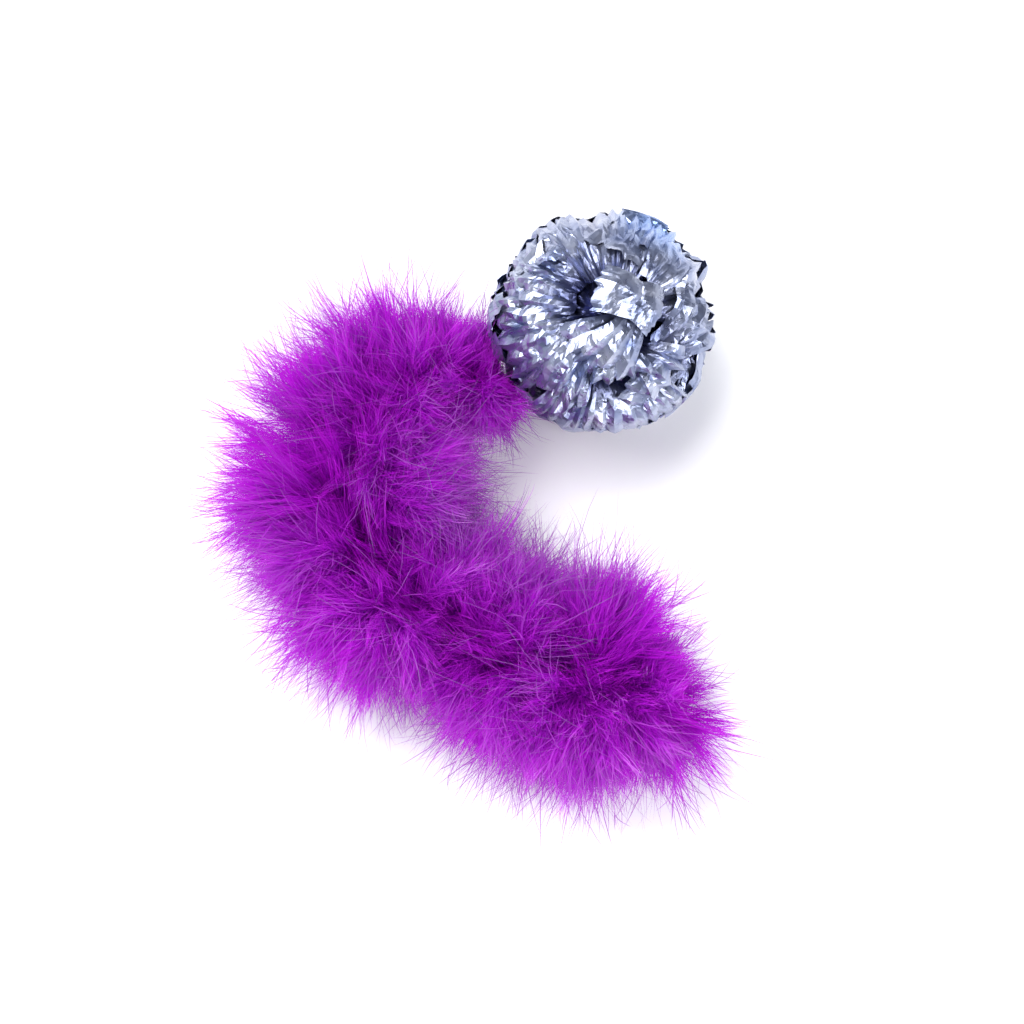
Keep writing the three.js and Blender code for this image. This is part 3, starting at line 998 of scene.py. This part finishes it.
    def _wisps(self, quills: Quills, rng: np.random.Generator) -> tuple[Array, ...]:
        """Long loose barbs that stand out past the rest and bow, a few from each plume's tip.

        Args:
            quills: The quills.
            rng: Source of chance.

        Returns:
            Points, triangles and map places.
        """
        count = self.wisps_per_quill * len(quills.root)
        which = rng.integers(0, len(quills.root), count)
        root, reach = quills.root[which], quills.reach[which]
        first = quills.point(which, rng.uniform(0.5, 1.0, count))
        outward = unit(first - root)
        away = unit(outward + self.wisp_spread * across(outward, rng))
        far = np.minimum(reach * (1.0 + self.wisp_reach * rng.beta(1.2, 1.8, count)), self.longest)
        length = np.maximum(far - np.linalg.norm(first - root, axis=1), self.wisp_least)
        bow = across(away, rng) * rng.uniform(*self.wisp_bow, count)[:, None] - self.wisp_sag * UP
        ahead = np.array([0.0, 0.3, 0.6, 0.85, 1.0])[None, :, None]
        run = ahead * away[:, None] + 0.5 * ahead**2 * bow[:, None]
        line = first[:, None] + length[:, None, None] * run
        column = rng.uniform(0.0, self.wisp_columns - 1, count)
        width = self.barb_width * rng.uniform(0.8, 1.6, count)
        return self._ribbons(line, root, reach, width, column, rng)

    def _laid(self, points: Array, root: Array) -> Array:
        """Presses points against the surface below, draws in the farthest and keeps them out of the ball.

        Height under a few millimetres closes up as h exp((z - h) / f), and what is pressed spreads sideways.

        Args:
            points: Shape (n, stations, 3).
            root: The point on the cord that each barb belongs to, shape (n, 3).

        Returns:
            Points of the same shape.
        """
        height = points[..., 2]
        pressed = self.press_from * np.exp((height - self.press_from) / self.press_fade)
        pressed = np.where(height < self.press_from, pressed, height)
        sideways = points - root[:, None]
        sideways[..., 2] = 0.0
        points = points + unit(sideways) * (0.35 * (pressed - height))[..., None]
        points[..., 2] = np.maximum(pressed, self.floor_gap)
        for axis, limit in enumerate((self.half_width, self.half_depth, self.ceiling)):
            past = np.maximum(np.abs(points[..., axis]) - limit, 0.0)
            points[..., axis] -= self.drawn_in * np.sign(points[..., axis]) * past
        from_ball = points - self.ball.centre
        distance = np.linalg.norm(from_ball, axis=-1, keepdims=True)
        keep = self.ball.radius + self.ball_gap
        outside = self.ball.centre + from_ball * np.maximum(keep / np.maximum(distance, 1e-9), 1.0)
        outside[..., 2] = np.maximum(outside[..., 2], self.floor_gap)
        return outside

    def _ribbons(
        self, line: Array, root: Array, reach: Array, width: Array, column: Array, rng: np.random.Generator
    ) -> tuple[Array, ...]:
        """Flat tapering barbs: each path point is spread by its half-width, and the last one is the tip.

        Args:
            line: Path points, shape (n, 5, 3).
            root: The point on the cord that each belongs to.
            reach: How far the plumes reach there.
            width: Width at the root.
            column: Tone column on the bake map.
            rng: Source of chance.

        Returns:
            Points, triangles and map places.
        """
        line = self._laid(line, root)
        count, stations = line.shape[:2]
        flat = across(unit(line[:, -1] - line[:, 0]), rng)[:, None]
        taper = np.array([0.85, 1.0, 0.82, 0.5])[None, :, None]
        half = 0.5 * width[:, None, None] * taper * flat
        points = np.concatenate([line[:, :-1] - half, line[:, :-1] + half, line[:, -1:]], axis=1)
        # The map's depth, from the cord outwards, sets the painted shade near the cord and the painted light
        # at the tips.
        depth = np.linalg.norm(line - root[:, None], axis=-1) / reach[:, None]
        depth = np.clip(0.02 + 0.70 * depth, 0.02, 0.98)
        depth = np.concatenate([depth[:, :-1], depth], axis=1)
        across_column = np.array([0.2] * (stations - 1) + [0.8] * (stations - 1) + [0.5])[None]
        uvs = np.stack([(np.floor(column)[:, None] + across_column) / self.tone_columns, depth], axis=-1)
        last = stations - 1
        step = np.arange(last - 1)
        one = np.stack([step, step + last, step + last + 1], axis=1)
        two = np.stack([step, step + last + 1, step + 1], axis=1)
        pattern = np.concatenate([one, two, [[last - 1, 2 * last - 1, 2 * last]]])
        return self._copies(points, uvs, pattern)

    def _quill_tubes(self, quills: Quills) -> tuple[Array, ...]:
        """Quills as three-sided tubes that taper from the cord to each plume's tip.

        Args:
            quills: The quills.

        Returns:
            Points, triangles and map places.
        """
        share = np.linspace(0.0, 1.0, 7)
        count = len(quills.root)
        ahead = share[None, :, None]
        run = ahead * quills.out[:, None] + 0.5 * ahead**2 * quills.bend[:, None]
        line = self._laid(quills.root[:, None] + quills.length[:, None, None] * run, quills.root)
        along = unit(np.gradient(line, axis=1))
        side = unit(np.cross(along, UP + 0.01))
        over = np.cross(along, side)
        angle = np.arange(3) * (2 * math.pi / 3)
        ring = side[:, :, None] * np.cos(angle)[:, None] + over[:, :, None] * np.sin(angle)[:, None]
        thick, thin = self.quill_radius
        radius = (thick + (thin - thick) * share)[None, :, None, None]
        points = (line[:, :, None] + radius * ring).reshape(count, -1, 3)
        quads = grid_faces(len(share), 3, closed=True)
        end = 3 * (len(share) - 1)
        caps = [[0, 2, 1], [end, end + 1, end + 2]]
        pattern = np.concatenate([quads[:, [0, 1, 2]], quads[:, [0, 2, 3]], caps])
        tone = 0.97 - 0.12 * (np.arange(count) % 5) / 5
        tones = tone[:, None] + np.tile(np.array([0.0, 0.004, 0.008]), len(share))[None]
        # Depths along each quill give it the plumes' painted shade, darker at the root.
        depth = np.repeat(0.30 + 0.55 * share, 3)[None].repeat(count, 0)
        return self._copies(points, np.stack([tones, depth], axis=-1), pattern)

    @staticmethod
    def _copies(points: Array, uvs: Array, pattern: Array) -> tuple[Array, ...]:
        """Many small shapes of one pattern as one mesh.

        Args:
            points: Shape (shapes, points of each, 3).
            uvs: Map places, shape (shapes, points of each, 2).
            pattern: The triangles of one shape.

        Returns:
            Points, triangles and map places.
        """
        starts = np.arange(len(points)) * points.shape[1]
        faces = (pattern[None] + starts[:, None, None]).reshape(-1, 3)
        return points.reshape(-1, 3), faces, uvs.reshape(-1, 2)

    def build(self) -> None:
        """Builds every stretch as a coat of down and a coat of barbs, and ties those that lie on one body to
        it.
        """
        for index, stretch in enumerate(self.stretches()):
            rng = np.random.default_rng(self.seed + index)
            quills = self._quills(stretch, rng)
            for coat in Coat:
                strands = self._strands(quills, rng)
                parts = [self._barbs(strands, self._barbs_per_strand(stretch), rng)]
                if coat is Coat.BARBS:
                    parts += [self._wisps(quills, rng), self._quill_tubes(quills)]
                points, faces, uvs = joined(parts)
                piece = new_piece(f"{stretch.name}_{coat.value}", points, faces, uvs)
                dress(piece, self.finish)
                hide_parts(*[f"plume_tuft_{number:02d}" for number in stretch.tufts])
                self._tie(piece, stretch)
                LOG.info("%s: %d triangles", piece.name, len(faces))

    @staticmethod
    def _barbs_per_strand(stretch: Stretch) -> int:
        """Fewer barbs where a stretch is crowded by the end's extra plumes."""
        return 20 if len(stretch.bodies) == 2 else 18

    def _tie(self, piece: bpy.types.Object, stretch: Stretch) -> None:
        """Makes a stretch of one body follow it; a stretch that spans two bodies only has its place baked
        into its mesh.

        Args:
            piece: One of its coats.
            stretch: The stretch.
        """
        if len(stretch.bodies) == 1:
            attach(piece, stretch.bodies[0])
            return
        ends = [self.route.point(share * self.route.length) for share in (stretch.start, stretch.end)]
        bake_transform(piece)


# ---------------------------------------------------------------- cord, thread and knots


@dataclass
class CordWork:
    """The two-ply cord, its thread and its knots."""

    route: Route
    ball: Ball
    cord: bpy.types.Material
    thread: bpy.types.Material
    quill: bpy.types.Material
    bodies: int = 5
    radius: float = 0.9 * MM
    ply_share: float = 0.52
    ply_sides: int = 10
    twist_pitch: float = 4.2 * MM
    steps: int = 80
    hinge_gap: float = 0.9 * MM
    lead_end: float = 5.0 * MM
    knot_room: float = 3.125 * MM
    knot_loop: float = 1.45 * MM
    knot_radius: float = 0.62 * MM
    knot_steps: int = 140
    knot_sides: int = 12
    knot_twists: int = 14
    knot_relief: float = 0.10

    def _plies(self, centre: Array, side: Array, over: Array, run: Array) -> tuple[Array, Array]:
        """Two plies wound round each other: each centre turns about the path once in every pitch.

        Args:
            centre: Path points.
            side: Unit vectors square to the path.
            over: Unit vectors square to both.
            run: Length along the path of each point.

        Returns:
            Points and triangles.
        """
        plies = []
        for start in (0.0, math.pi):
            turn = (2 * math.pi * run / self.twist_pitch + start)[:, None]
            place = centre + 0.5 * self.radius * (np.cos(turn) * side + np.sin(turn) * over)
            radius = np.full(len(run), self.ply_share * self.radius)
            plies.append(tube(place, side, over, radius, self.ply_sides))
        return joined(plies)

    def build_cord(self) -> None:
        """Each body's stretch of cord, and the lead that goes into the ball."""
        step = self.route.length / self.bodies
        for index in range(self.bodies):
            low = index * step + (self.knot_room if index == 0 else self.hinge_gap)
            high = (index + 1) * step - (0.0 if index == self.bodies - 1 else self.hinge_gap)
            place = np.linspace(low, high, self.steps)
            side, over = self.route.side(place), self.route.over(place)
            shape = self._plies(self.route.point(place), side, over, place)
            number = index + 1
            self._finish(f"twisted_cord_{number}", *shape, f"core_cord_{number:02d}", f"tail_{number}")
        knot = self.route.point(0.0)
        way = unit(self.ball.centre - knot)
        start = knot + way * self.knot_room
        far = float(np.linalg.norm(self.ball.centre - start)) - self.lead_end
        run = np.linspace(0.0, far, self.steps)
        side = np.repeat(unit(np.cross(UP, way))[None], len(run), 0)
        shape = self._plies(start + run[:, None] * way, side, np.cross(way, side), run)
        self._finish("twisted_lead", *shape, "ball_lead", "ball")
        LOG.info("lead %.1f mm", far / MM)

    def _knot(self, centre: Array, way: Array) -> tuple[Array, Array]:
        """A tied knot: a strand on the path (2 + cos 3u)(cos 2u, sin 2u), sin 3u, closed on itself.

        Args:
            centre: The knot's middle.
            way: The cord's direction through it.

        Returns:
            Points and quads.
        """
        turn = np.linspace(0.0, 2 * math.pi, self.knot_steps, endpoint=False)
        wide = 2 + np.cos(3 * turn)
        flat = np.stack([wide * np.cos(2 * turn), wide * np.sin(2 * turn), np.sin(3 * turn)], axis=1)
        side = unit(np.cross(UP, way))
        basis = np.stack([side, np.cross(way, side), way])
        path = centre + 0.5 * self.knot_loop * flat @ basis
        along = unit(np.roll(path, -1, 0) - np.roll(path, 1, 0))
        out = unit(path - centre)
        over = unit(np.cross(along, out))
        inner = np.cross(over, along)
        angle = np.arange(self.knot_sides) * (2 * math.pi / self.knot_sides)
        ply = 1 + self.knot_relief * np.cos(2 * (angle[None] + self.knot_twists * turn[:, None]))
        ring = inner[:, None] * np.cos(angle)[None, :, None] + over[:, None] * np.sin(angle)[None, :, None]
        points = path[:, None] + self.knot_radius * ply[..., None] * ring
        quads = grid_faces(len(turn) + 1, len(angle), closed=True) % (len(turn) * len(angle))
        return points.reshape(-1, 3), quads

    def build_knots(self) -> None:
        """The knot beside the ball and the knot inside the tail's end."""
        start, end = self.route.point(0.0), self.route.point(self.route.length + self.knot_room)
        self._finish("tied_knot", *self._knot(start, unit(self.ball.centre - start)), "tie_knot", "knot")
        shape = self._knot(end, self.route.along(self.route.length))
        self._finish("stopper_knot", *shape, "end_knot", "tail_5")

    def _finish(self, name: str, points: Array, faces: Array, node: str, body: str) -> None:
        """Makes a cord piece, dresses it and ties it to its body.

        Args:
            name: The piece's name.
            points: Its vertices.
            faces: Its faces.
            node: The CAD node that it stands for.
            body: The body that it follows.
        """
        piece = new_piece(name, points, faces)
        dress(piece, self.cord)
        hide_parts(node)
        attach(piece, body)
        LOG.info("%s: %d faces", name, len(faces))

    def dress_nodes(self) -> None:
        """Gives the carried-over thread, whipping and quill butts their finishes."""
        for name, node in frame["nodes"].items():
            if name.startswith("binding_thread") or name == "end_whipping":
                dress(node, self.thread)
            elif name.startswith("quill_collar"):
                dress(node, self.quill)


# ---------------------------------------------------------------- the film ball


@dataclass(frozen=True)
class Flap:
    """One pleated flap of film that runs over the ball from its root.

    across and up are the root's place on the front disc, in ball radii; heading is the way it runs there, in
    degrees. length is the angle that it covers, and fan half the angle that it opens to. The rest is in
    millimetres: root_width is half its width at the root, its pleats have a depth, crush is how much it is
    crumpled, it climbs from the radius low to high, and its edge droops.
    """

    across: float
    up: float
    heading: float
    length: float
    fan: float
    root_width: float
    pleats: int
    depth: float
    crush: float
    low: float
    high: float
    droop: float = 0.6


# The flaps on the front of the ball, from its top round by the right, and those folded over the middle.
FRONT_FLAPS = (
    Flap(0.06, 0.36, 88, 1.02, 0.66, 5.5, 12, 1.15, 0.35, 19.5, 25.2),
    Flap(0.16, 0.52, 70, 0.82, 0.60, 5.0, 9, 1.0, 0.4, 18.0, 24.2),
    Flap(0.44, 0.30, 40, 0.60, 0.42, 3.5, 2, 0.7, 0.35, 22.0, 24.8),
    Flap(0.52, 0.12, 12, 0.66, 0.46, 3.0, 4, 1.0, 0.6, 18.5, 24.6),
    Flap(0.64, -0.34, 32, 0.62, 0.50, 3.5, 6, 1.0, 0.5, 18.5, 25.0),
    Flap(0.36, -0.38, -38, 0.42, 0.45, 3.0, 4, 0.9, 0.7, 19.0, 24.2),
    Flap(0.12, -0.36, -78, 0.26, 0.55, 3.5, 5, 0.9, 0.7, 19.5, 24.2),
    Flap(0.06, -0.70, -86, 0.52, 0.75, 10.0, 14, 0.75, 0.45, 17.0, 25.2, -0.4),
    Flap(-0.16, -0.14, -142, 0.78, 0.52, 3.5, 6, 1.0, 0.7, 19.0, 24.6),
    Flap(-0.30, -0.36, -132, 0.46, 0.55, 4.0, 7, 0.9, 0.7, 18.5, 24.8),
    Flap(-0.50, -0.22, -165, 0.66, 0.50, 3.5, 6, 0.9, 0.7, 18.5, 25.0),
    Flap(-0.34, 0.04, 176, 0.60, 0.50, 3.5, 5, 0.8, 0.9, 19.0, 24.0),
    Flap(-0.56, 0.14, 168, 0.62, 0.50, 3.5, 6, 0.9, 0.8, 18.0, 24.8),
    Flap(-0.24, 0.34, 138, 0.72, 0.45, 3.0, 5, 1.1, 0.8, 18.5, 24.6),
    Flap(-0.50, 0.46, 126, 0.55, 0.42, 3.0, 4, 1.1, 0.6, 18.5, 25.2),
    Flap(0.40, 0.06, 158, 0.52, 0.24, 3.4, 1, 0.7, 0.25, 22.2, 24.9, 1.6),
    Flap(0.14, 0.20, -24, 0.42, 0.30, 3.2, 1, 0.5, 0.25, 21.5, 24.4, 1.0),
    Flap(0.30, -0.02, -126, 0.56, 0.36, 2.6, 3, 0.7, 0.35, 21.5, 24.5, 1.2),
    Flap(0.14, -0.10, -150, 0.52, 0.36, 2.6, 4, 0.8, 0.45, 20.5, 23.6),
)


@dataclass(frozen=True)
class Layer:
    """Flaps spread evenly over the whole ball: how many, the radii of their roots and edges in millimetres.

    Those whose root is nearer to the front end of the axis than the angle clear, in degrees, are left out.
    """

    count: int
    low: float
    high: float
    clear: float

    def flaps(self, ball: Ball, rng: np.random.Generator) -> list[tuple]:
        """Its flaps, each running away from the nearer end of the axis.

        Args:
            ball: The ball that they lie on.
            rng: Source of chance.

        Returns:
            Tuples of root, heading and flap.
        """
        made = []
        for number in range(self.count):
            fall = math.acos(1 - 2 * (number + 0.5) / self.count)
            root = ball.direction(np.array(number * GOLDEN_ANGLE), np.array(fall))
            away = root - ball.axis * math.cos(fall)
            heading = unit((1 if fall < math.pi / 2 else -1) * unit(away - 0.6 * ball.axis * math.cos(fall)))
            heading = unit(heading + 0.8 * across(root, rng)) if fall < 2.0 else across(root, rng)
            flap = Flap(
                0.0,
                0.0,
                0.0,
                length=rng.uniform(0.45, 0.75),
                fan=rng.uniform(0.35, 0.60),
                root_width=rng.uniform(2.0, 3.5),
                pleats=int(rng.integers(2, 7)),
                depth=rng.uniform(0.7, 1.3),
                crush=rng.uniform(0.4, 0.8),
                low=self.low + rng.uniform(-0.5, 1.0),
                high=self.high + rng.uniform(-1.2, 1.0),
                droop=rng.uniform(-1.2, 1.4),
            )
            if float(np.dot(root, ball.axis)) < math.cos(math.radians(self.clear)):
                made.append((root, heading, flap))
        return made


@dataclass
class FilmBall:
    """Strips of film tied at the middle and fanned out: pleated flaps lie in layers round a crumpled core.

    Each dent in the outline is its angle round the ball in degrees, its depth in radii and its width.
    """

    ball: Ball
    film: bpy.types.Material
    band: bpy.types.Material
    leaves: int = 10
    thickness: float = 0.06 * MM
    core_radius: float = 17.0 * MM
    core_relief: float = 1.3 * MM
    core_overlap: float = 0.04
    layers: tuple[Layer, ...] = (Layer(74, 15.5, 21.5, 56.0), Layer(120, 18.5, 24.4, 76.0))
    dents: tuple[Numbers, ...] = (
        (17, 0.08, 7),
        (28, -0.04, 7),
        (98, 0.09, 8),
        (142, 0.05, 16),
        (223, 0.02, 12),
    )
    outline_room: float = 0.6 * MM
    floor_gap: float = 0.2 * MM
    facet: float = 8.0 * MM
    crinkle_facet: float = 3.4 * MM
    slip_facet: float = 7.0 * MM
    ragged: float = 0.07
    columns_per_pleat: int = 4
    rows: int = 17
    map_margin: float = 0.04
    seed: int = 5

    @staticmethod
    def _crumple(across_sheet: Array, along_sheet: Array, size: float, rng: np.random.Generator) -> Array:
        """Creased relief: a sum of zigzags in random directions, so that it is flat facets with sharp folds.

        Args:
            across_sheet: First coordinate on the sheet, in metres.
            along_sheet: Second coordinate on the sheet, in metres.
            size: Length of the largest facets.
            rng: Source of chance.

        Returns:
            Heights between about -1 and 1.
        """
        total = np.zeros_like(across_sheet)
        for octave in range(4):
            angle = rng.uniform(0.0, math.pi)
            pitch = size * rng.uniform(0.8, 1.4) / (1.0 + 0.3 * octave)
            turns = (across_sheet * math.cos(angle) + along_sheet * math.sin(angle)) / pitch + rng.uniform()
            total = total + triangle_wave(turns) / (1.0 + 0.5 * octave)
        return total / 2.0

    def _core(self, index: int) -> tuple[Array, ...]:
        """One gore of the crumpled core, from pole to pole: radius + relief along its direction.

        Args:
            index: Which leaf.

        Returns:
            Points, quads and map places.
        """
        edge = self.core_overlap
        turn = np.linspace(index - edge, index + 1 + edge, 20) * (2 * math.pi / self.leaves)
        fall, turn = np.meshgrid(np.linspace(edge, math.pi - edge, 60), turn, indexing="ij")
        common = np.random.default_rng(self.seed)
        relief = self._crumple(turn * self.core_radius, fall * self.core_radius, self.facet, common)
        radius = self.core_radius + self.core_relief * relief
        points = self.ball.centre + radius[..., None] * self.ball.direction(turn, fall)
        return points.reshape(-1, 3), grid_faces(*turn.shape), self._own_map(*turn.shape)

    @staticmethod
    def _own_map(rows: int, columns: int) -> Array:
        """Map places of a grid's vertices, from 0 to 1 both ways."""
        place = np.meshgrid(np.linspace(0, 1, rows), np.linspace(0, 1, columns), indexing="ij")
        return np.stack(place, axis=-1).reshape(-1, 2)

    def _mapped(self, parts: list[tuple[Array, ...]]) -> list[tuple[Array, ...]]:
        """Gives each sheet of a leaf its own square of the bake map, with a margin round it.

        Args:
            parts: Tuples of points, quads and map places from 0 to 1.

        Returns:
            The same with the map places moved.
        """
        side = math.ceil(math.sqrt(len(parts)))
        moved = []
        for number, (points, faces, uvs) in enumerate(parts):
            corner = np.array([number % side, number // side]) + self.map_margin
            moved.append((points, faces, (corner + (1 - 2 * self.map_margin) * uvs) / side))
        return moved

    def _pleats(self, flap: Flap, rng: np.random.Generator) -> tuple[Array, Array]:
        """A flap's zigzag across its width, with corners that are unevenly wide and high and lie on columns.

        Args:
            flap: Its sizes.
            rng: Source of chance.

        Returns:
            The side u of each column, from -1 to 1, and the zigzag's height there.
        """
        columns = self.columns_per_pleat * flap.pleats * (1 if flap.pleats > 2 else 4) + 1
        halves = 2 * flap.pleats
        corners = np.arange(halves + 1)
        edges = np.cumsum(np.concatenate([[0.0], rng.uniform(0.5, 1.7, halves)]))
        phase = np.linspace(0, halves, columns)
        side = np.interp(phase, corners, 2 * edges / edges[-1] - 1)
        heights = np.where(corners % 2 == 0, -1.0, 1.0) * rng.uniform(0.35, 1.25, halves + 1)
        return side, np.interp(phase, corners, heights)

    def _sheet(self, root: Array, heading: Array, flap: Flap, rng: np.random.Generator) -> tuple[Array, ...]:
        """A flap: each line leaves the root on a great circle, and its radius climbs, folds and is crushed.

        The line at side u runs at an angle u x fan from the heading. At the share v of its length its radius
        is low + (high - low) sin(pi/2 min(1, 1.25 v)) + zigzag(u) depth (0.25 + 0.75 v) + crush - droop v^3.

        Args:
            root: Unit vector from the ball's centre to the flap's root.
            heading: The way that it runs.
            flap: Its sizes.
            rng: Source of chance.

        Returns:
            Points, quads and map places.
        """
        heading = unit(heading - root * np.dot(root, heading))
        flank = np.cross(root, heading)
        side, fold = self._pleats(flap, rng)
        fold = fold[:, None]
        side, out = np.meshgrid(side, np.linspace(0, 1, self.rows), indexing="ij")
        start = unit(root + flank * (side * flap.root_width / flap.low)[..., None])
        way = np.cos(side * flap.fan)[..., None] * heading + np.sin(side * flap.fan)[..., None] * flank
        way = unit(way - start * np.sum(way * start, axis=-1, keepdims=True))
        ragged = self.ragged * self._crumple(side * 12 * MM, np.zeros_like(out), 4 * MM, rng) + 0.05 * fold
        covered = out * flap.length * (1 + ragged * out)
        direction = np.cos(covered)[..., None] * start + np.sin(covered)[..., None] * way
        climb = np.sin(0.5 * math.pi * np.minimum(1.0, 1.25 * out))
        wide = side * (flap.root_width + flap.length * flap.fan * flap.high) * MM
        long = out * flap.length * flap.high * MM
        crease, crinkle, slip = (
            self._crumple(wide, long, size, rng) for size in (self.facet, self.crinkle_facet, self.slip_facet)
        )
        radius = flap.low + (flap.high - flap.low) * climb + flap.depth * (0.25 + 0.75 * out) * fold
        radius = (radius + flap.crush * (crease + 0.45 * crinkle) - flap.droop * out**3) * MM
        limit = self.ball.radius + self.outline_room
        radius = np.where(radius > limit, limit + 0.3 * (radius - limit), radius) * self._outline(direction)
        points = self.ball.centre + radius[..., None] * direction
        points = points + (0.6 * MM * flap.crush * slip)[..., None] * flank
        points[..., 2] = np.maximum(points[..., 2], self.floor_gap)
        return points.reshape(-1, 3), grid_faces(*side.shape), self._own_map(*side.shape)

    def _outline(self, direction: Array) -> Array:
        """The ball's uneven outline: its radius falls at each dent by depth exp(-((turn - at) / width)^2).

        Args:
            direction: Unit vectors from the ball's centre.

        Returns:
            Factors on the radius, 1 near the ends of the axis.
        """
        left, back = direction @ self.ball.left, direction @ self.ball.back
        turn = np.degrees(np.arctan2(back, left))
        edge = smooth(np.hypot(left, back), 0.55, 0.95)
        factor = np.ones_like(turn)
        for at, depth, width in self.dents:
            away = (turn - at + 180.0) % 360.0 - 180.0
            factor = factor - depth * edge * np.exp(-((away / width) ** 2))
        return factor

    def _front(self, flap: Flap) -> tuple[Array, Array]:
        """Where a flap stands that is placed on the front disc.

        Args:
            flap: Its place and heading.

        Returns:
            The unit vectors of its root and its heading.
        """
        toward = math.sqrt(max(0.0, 1.0 - flap.across**2 - flap.up**2))
        root = flap.across * self.ball.left + flap.up * self.ball.back + toward * self.ball.axis
        angle = math.radians(flap.heading)
        return root, math.cos(angle) * self.ball.left + math.sin(angle) * self.ball.back

    def build(self) -> None:
        """Builds the leaves, each with the flaps rooted in its wedge, and dresses the waist and its tie."""
        rng = np.random.default_rng(self.seed)
        flaps = [each for layer in self.layers for each in layer.flaps(self.ball, rng)]
        flaps += [(*self._front(flap), flap) for flap in FRONT_FLAPS]
        groups: list[list] = [[self._core(index)] for index in range(self.leaves)]
        for number, (root, heading, flap) in enumerate(flaps):
            turn = math.atan2(float(np.dot(root, self.ball.back)), float(np.dot(root, self.ball.left)))
            index = math.floor(turn / (2 * math.pi) * self.leaves) % self.leaves
            own = np.random.default_rng(self.seed + 100 + number)
            groups[index].append(self._sheet(root, heading, flap, own))
        for index, parts in enumerate(groups):
            points, faces, uvs = joined(self._mapped(parts))
            piece = new_piece(f"crinkled_leaf_{index + 1:02d}", points, faces, uvs, smooth_shaded=False)
            skin = piece.modifiers.new("film_thickness", "SOLIDIFY")
            skin.thickness = self.thickness
            skin.offset = 0.0
            dress(piece, self.film)
            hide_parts(f"film_leaf_{index + 1:02d}")
            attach(piece, "ball")
            LOG.info("%s: %d quads", piece.name, len(faces))
        dress(frame["nodes"]["gathered_waist"], self.film)
        dress(frame["nodes"]["waist_tie"], self.band)


# ---------------------------------------------------------------- studio


@dataclass(frozen=True)
class Softbox:
    """A square soft light that faces the toy: where it is, its side and its power in watts."""

    name: str
    place: Place
    size: float
    power: float

    def build(self, aim: Place) -> None:
        """Makes the light in its place.

        Args:
            aim: The point that it is turned to.
        """
        data = bpy.data.lights.new(self.name, "AREA")
        data.shape = "SQUARE"
        data.size = self.size
        data.energy = self.power
        lamp = bpy.data.objects.new(self.name, data)
        bpy.context.scene.collection.objects.link(lamp)
        lamp.location = self.place
        towards = np.array(aim) - np.array(self.place)
        level = math.hypot(towards[0], towards[1])
        turn = math.atan2(towards[1], towards[0]) - math.pi / 2
        lamp.rotation_euler = (math.atan2(level, -towards[2]), 0.0, turn)


@dataclass
class Studio:
    """A pale surface, soft lights, the sky's colours by height and the camera."""

    paper: bpy.types.Material
    aim: Place = (0.00735, -0.00133, 0.020)
    elevation: float = math.radians(75.0)
    lens_mm: float = 85.0
    sensor_mm: float = 36.0
    field_width: float = 0.2246
    floor_half: float = 3.0
    floor_drop: float = 0.1 * MM
    lights: tuple[Softbox, ...] = (
        Softbox("key_light", (-0.40, 0.30, 0.90), 0.90, 18.0),
        Softbox("fill_light", (0.75, -0.35, 0.7), 0.60, 8.0),
        Softbox("front_light", (-0.2, -0.9, 0.6), 0.60, 7.0),
    )
    sky: tuple[tuple[float, Colour], ...] = (
        (0.0, (0.84, 0.86, 0.91)),
        (0.14, (0.60, 0.63, 0.70)),
        (0.28, (0.30, 0.33, 0.42)),
        (0.6, (0.04, 0.05, 0.10)),
    )

    def build_camera(self) -> None:
        """Puts the camera above and in front of the toy, looking steeply down."""
        data = bpy.data.cameras.new("camera")
        data.lens = self.lens_mm
        data.sensor_width = self.sensor_mm
        data.clip_start = 0.01
        data.clip_end = 20.0
        camera = bpy.data.objects.new("camera", data)
        bpy.context.scene.collection.objects.link(camera)
        distance = self.field_width * self.lens_mm / self.sensor_mm
        back = np.array([0.0, -math.cos(self.elevation), math.sin(self.elevation)])
        camera.location = tuple(np.array(self.aim) + distance * back)
        camera.rotation_euler = (math.pi / 2 - self.elevation, 0.0, 0.0)
        bpy.context.scene.camera = camera

    def build_floor(self) -> None:
        """A broad level sheet that the toy lies on."""
        side = np.linspace(-self.floor_half, self.floor_half, 9)
        x, y = np.meshgrid(side, side, indexing="ij")
        points = np.stack([x, y, np.full_like(x, -self.floor_drop)], axis=-1).reshape(-1, 3)
        floor = new_piece("paper_floor", points, grid_faces(*x.shape))
        dress(floor, self.paper)

    def build_lights(self) -> None:
        """Three soft boxes and a sky that is pale at the horizon and dim overhead."""
        for light in self.lights:
            light.build(self.aim)
        world = bpy.data.worlds.new("sky")
        bpy.context.scene.world = world
        graph = Graph(world)
        way = graph.node("ShaderNodeTexCoord", out="Generated")
        height = graph.node("ShaderNodeSeparateXYZ", None, {0: way}, out="Z")
        shade = graph.ramp(height, list(self.sky))
        graph.finish(graph.node("ShaderNodeBackground", None, {"Color": shade}))
        bpy.context.scene.view_settings.view_transform = "Standard"


def main() -> None:
    """Builds the toy and the studio, piece by piece."""
    logging.basicConfig(level=logging.INFO, format="%(name)s %(message)s")
    route = Route(joint_place("ball_swing"))
    ball = Ball.from_frame()
    LOG.info("tail %.1f mm, ball radius %.1f mm", route.length / MM, ball.radius / MM)
    studio = Studio(PaperFinish().material())
    studio.build_camera()
    studio.build_floor()
    studio.build_lights()
    PlumeTail(route, ball, PlumeFinish().material()).build()
    cord = FibreFinish("dyed_cotton_cord", (0.07, 0.004, 0.10), (0.24, 0.03, 0.32), 900.0)
    thread = FibreFinish("binding_thread", (0.12, 0.008, 0.17), (0.36, 0.06, 0.46), 2600.0, 0.7)
    band = FibreFinish("waist_band", (0.55, 0.55, 0.58), (0.82, 0.82, 0.85), 1800.0, 0.75)
    work = CordWork(route, ball, cord.material(), thread.material(), QuillFinish().material())
    work.build_cord()
    work.build_knots()
    work.dress_nodes()
    FilmBall(ball, FilmFinish(middle=tuple(ball.centre)).material(), band.material()).build()


if __name__ == "__main__":
    main()
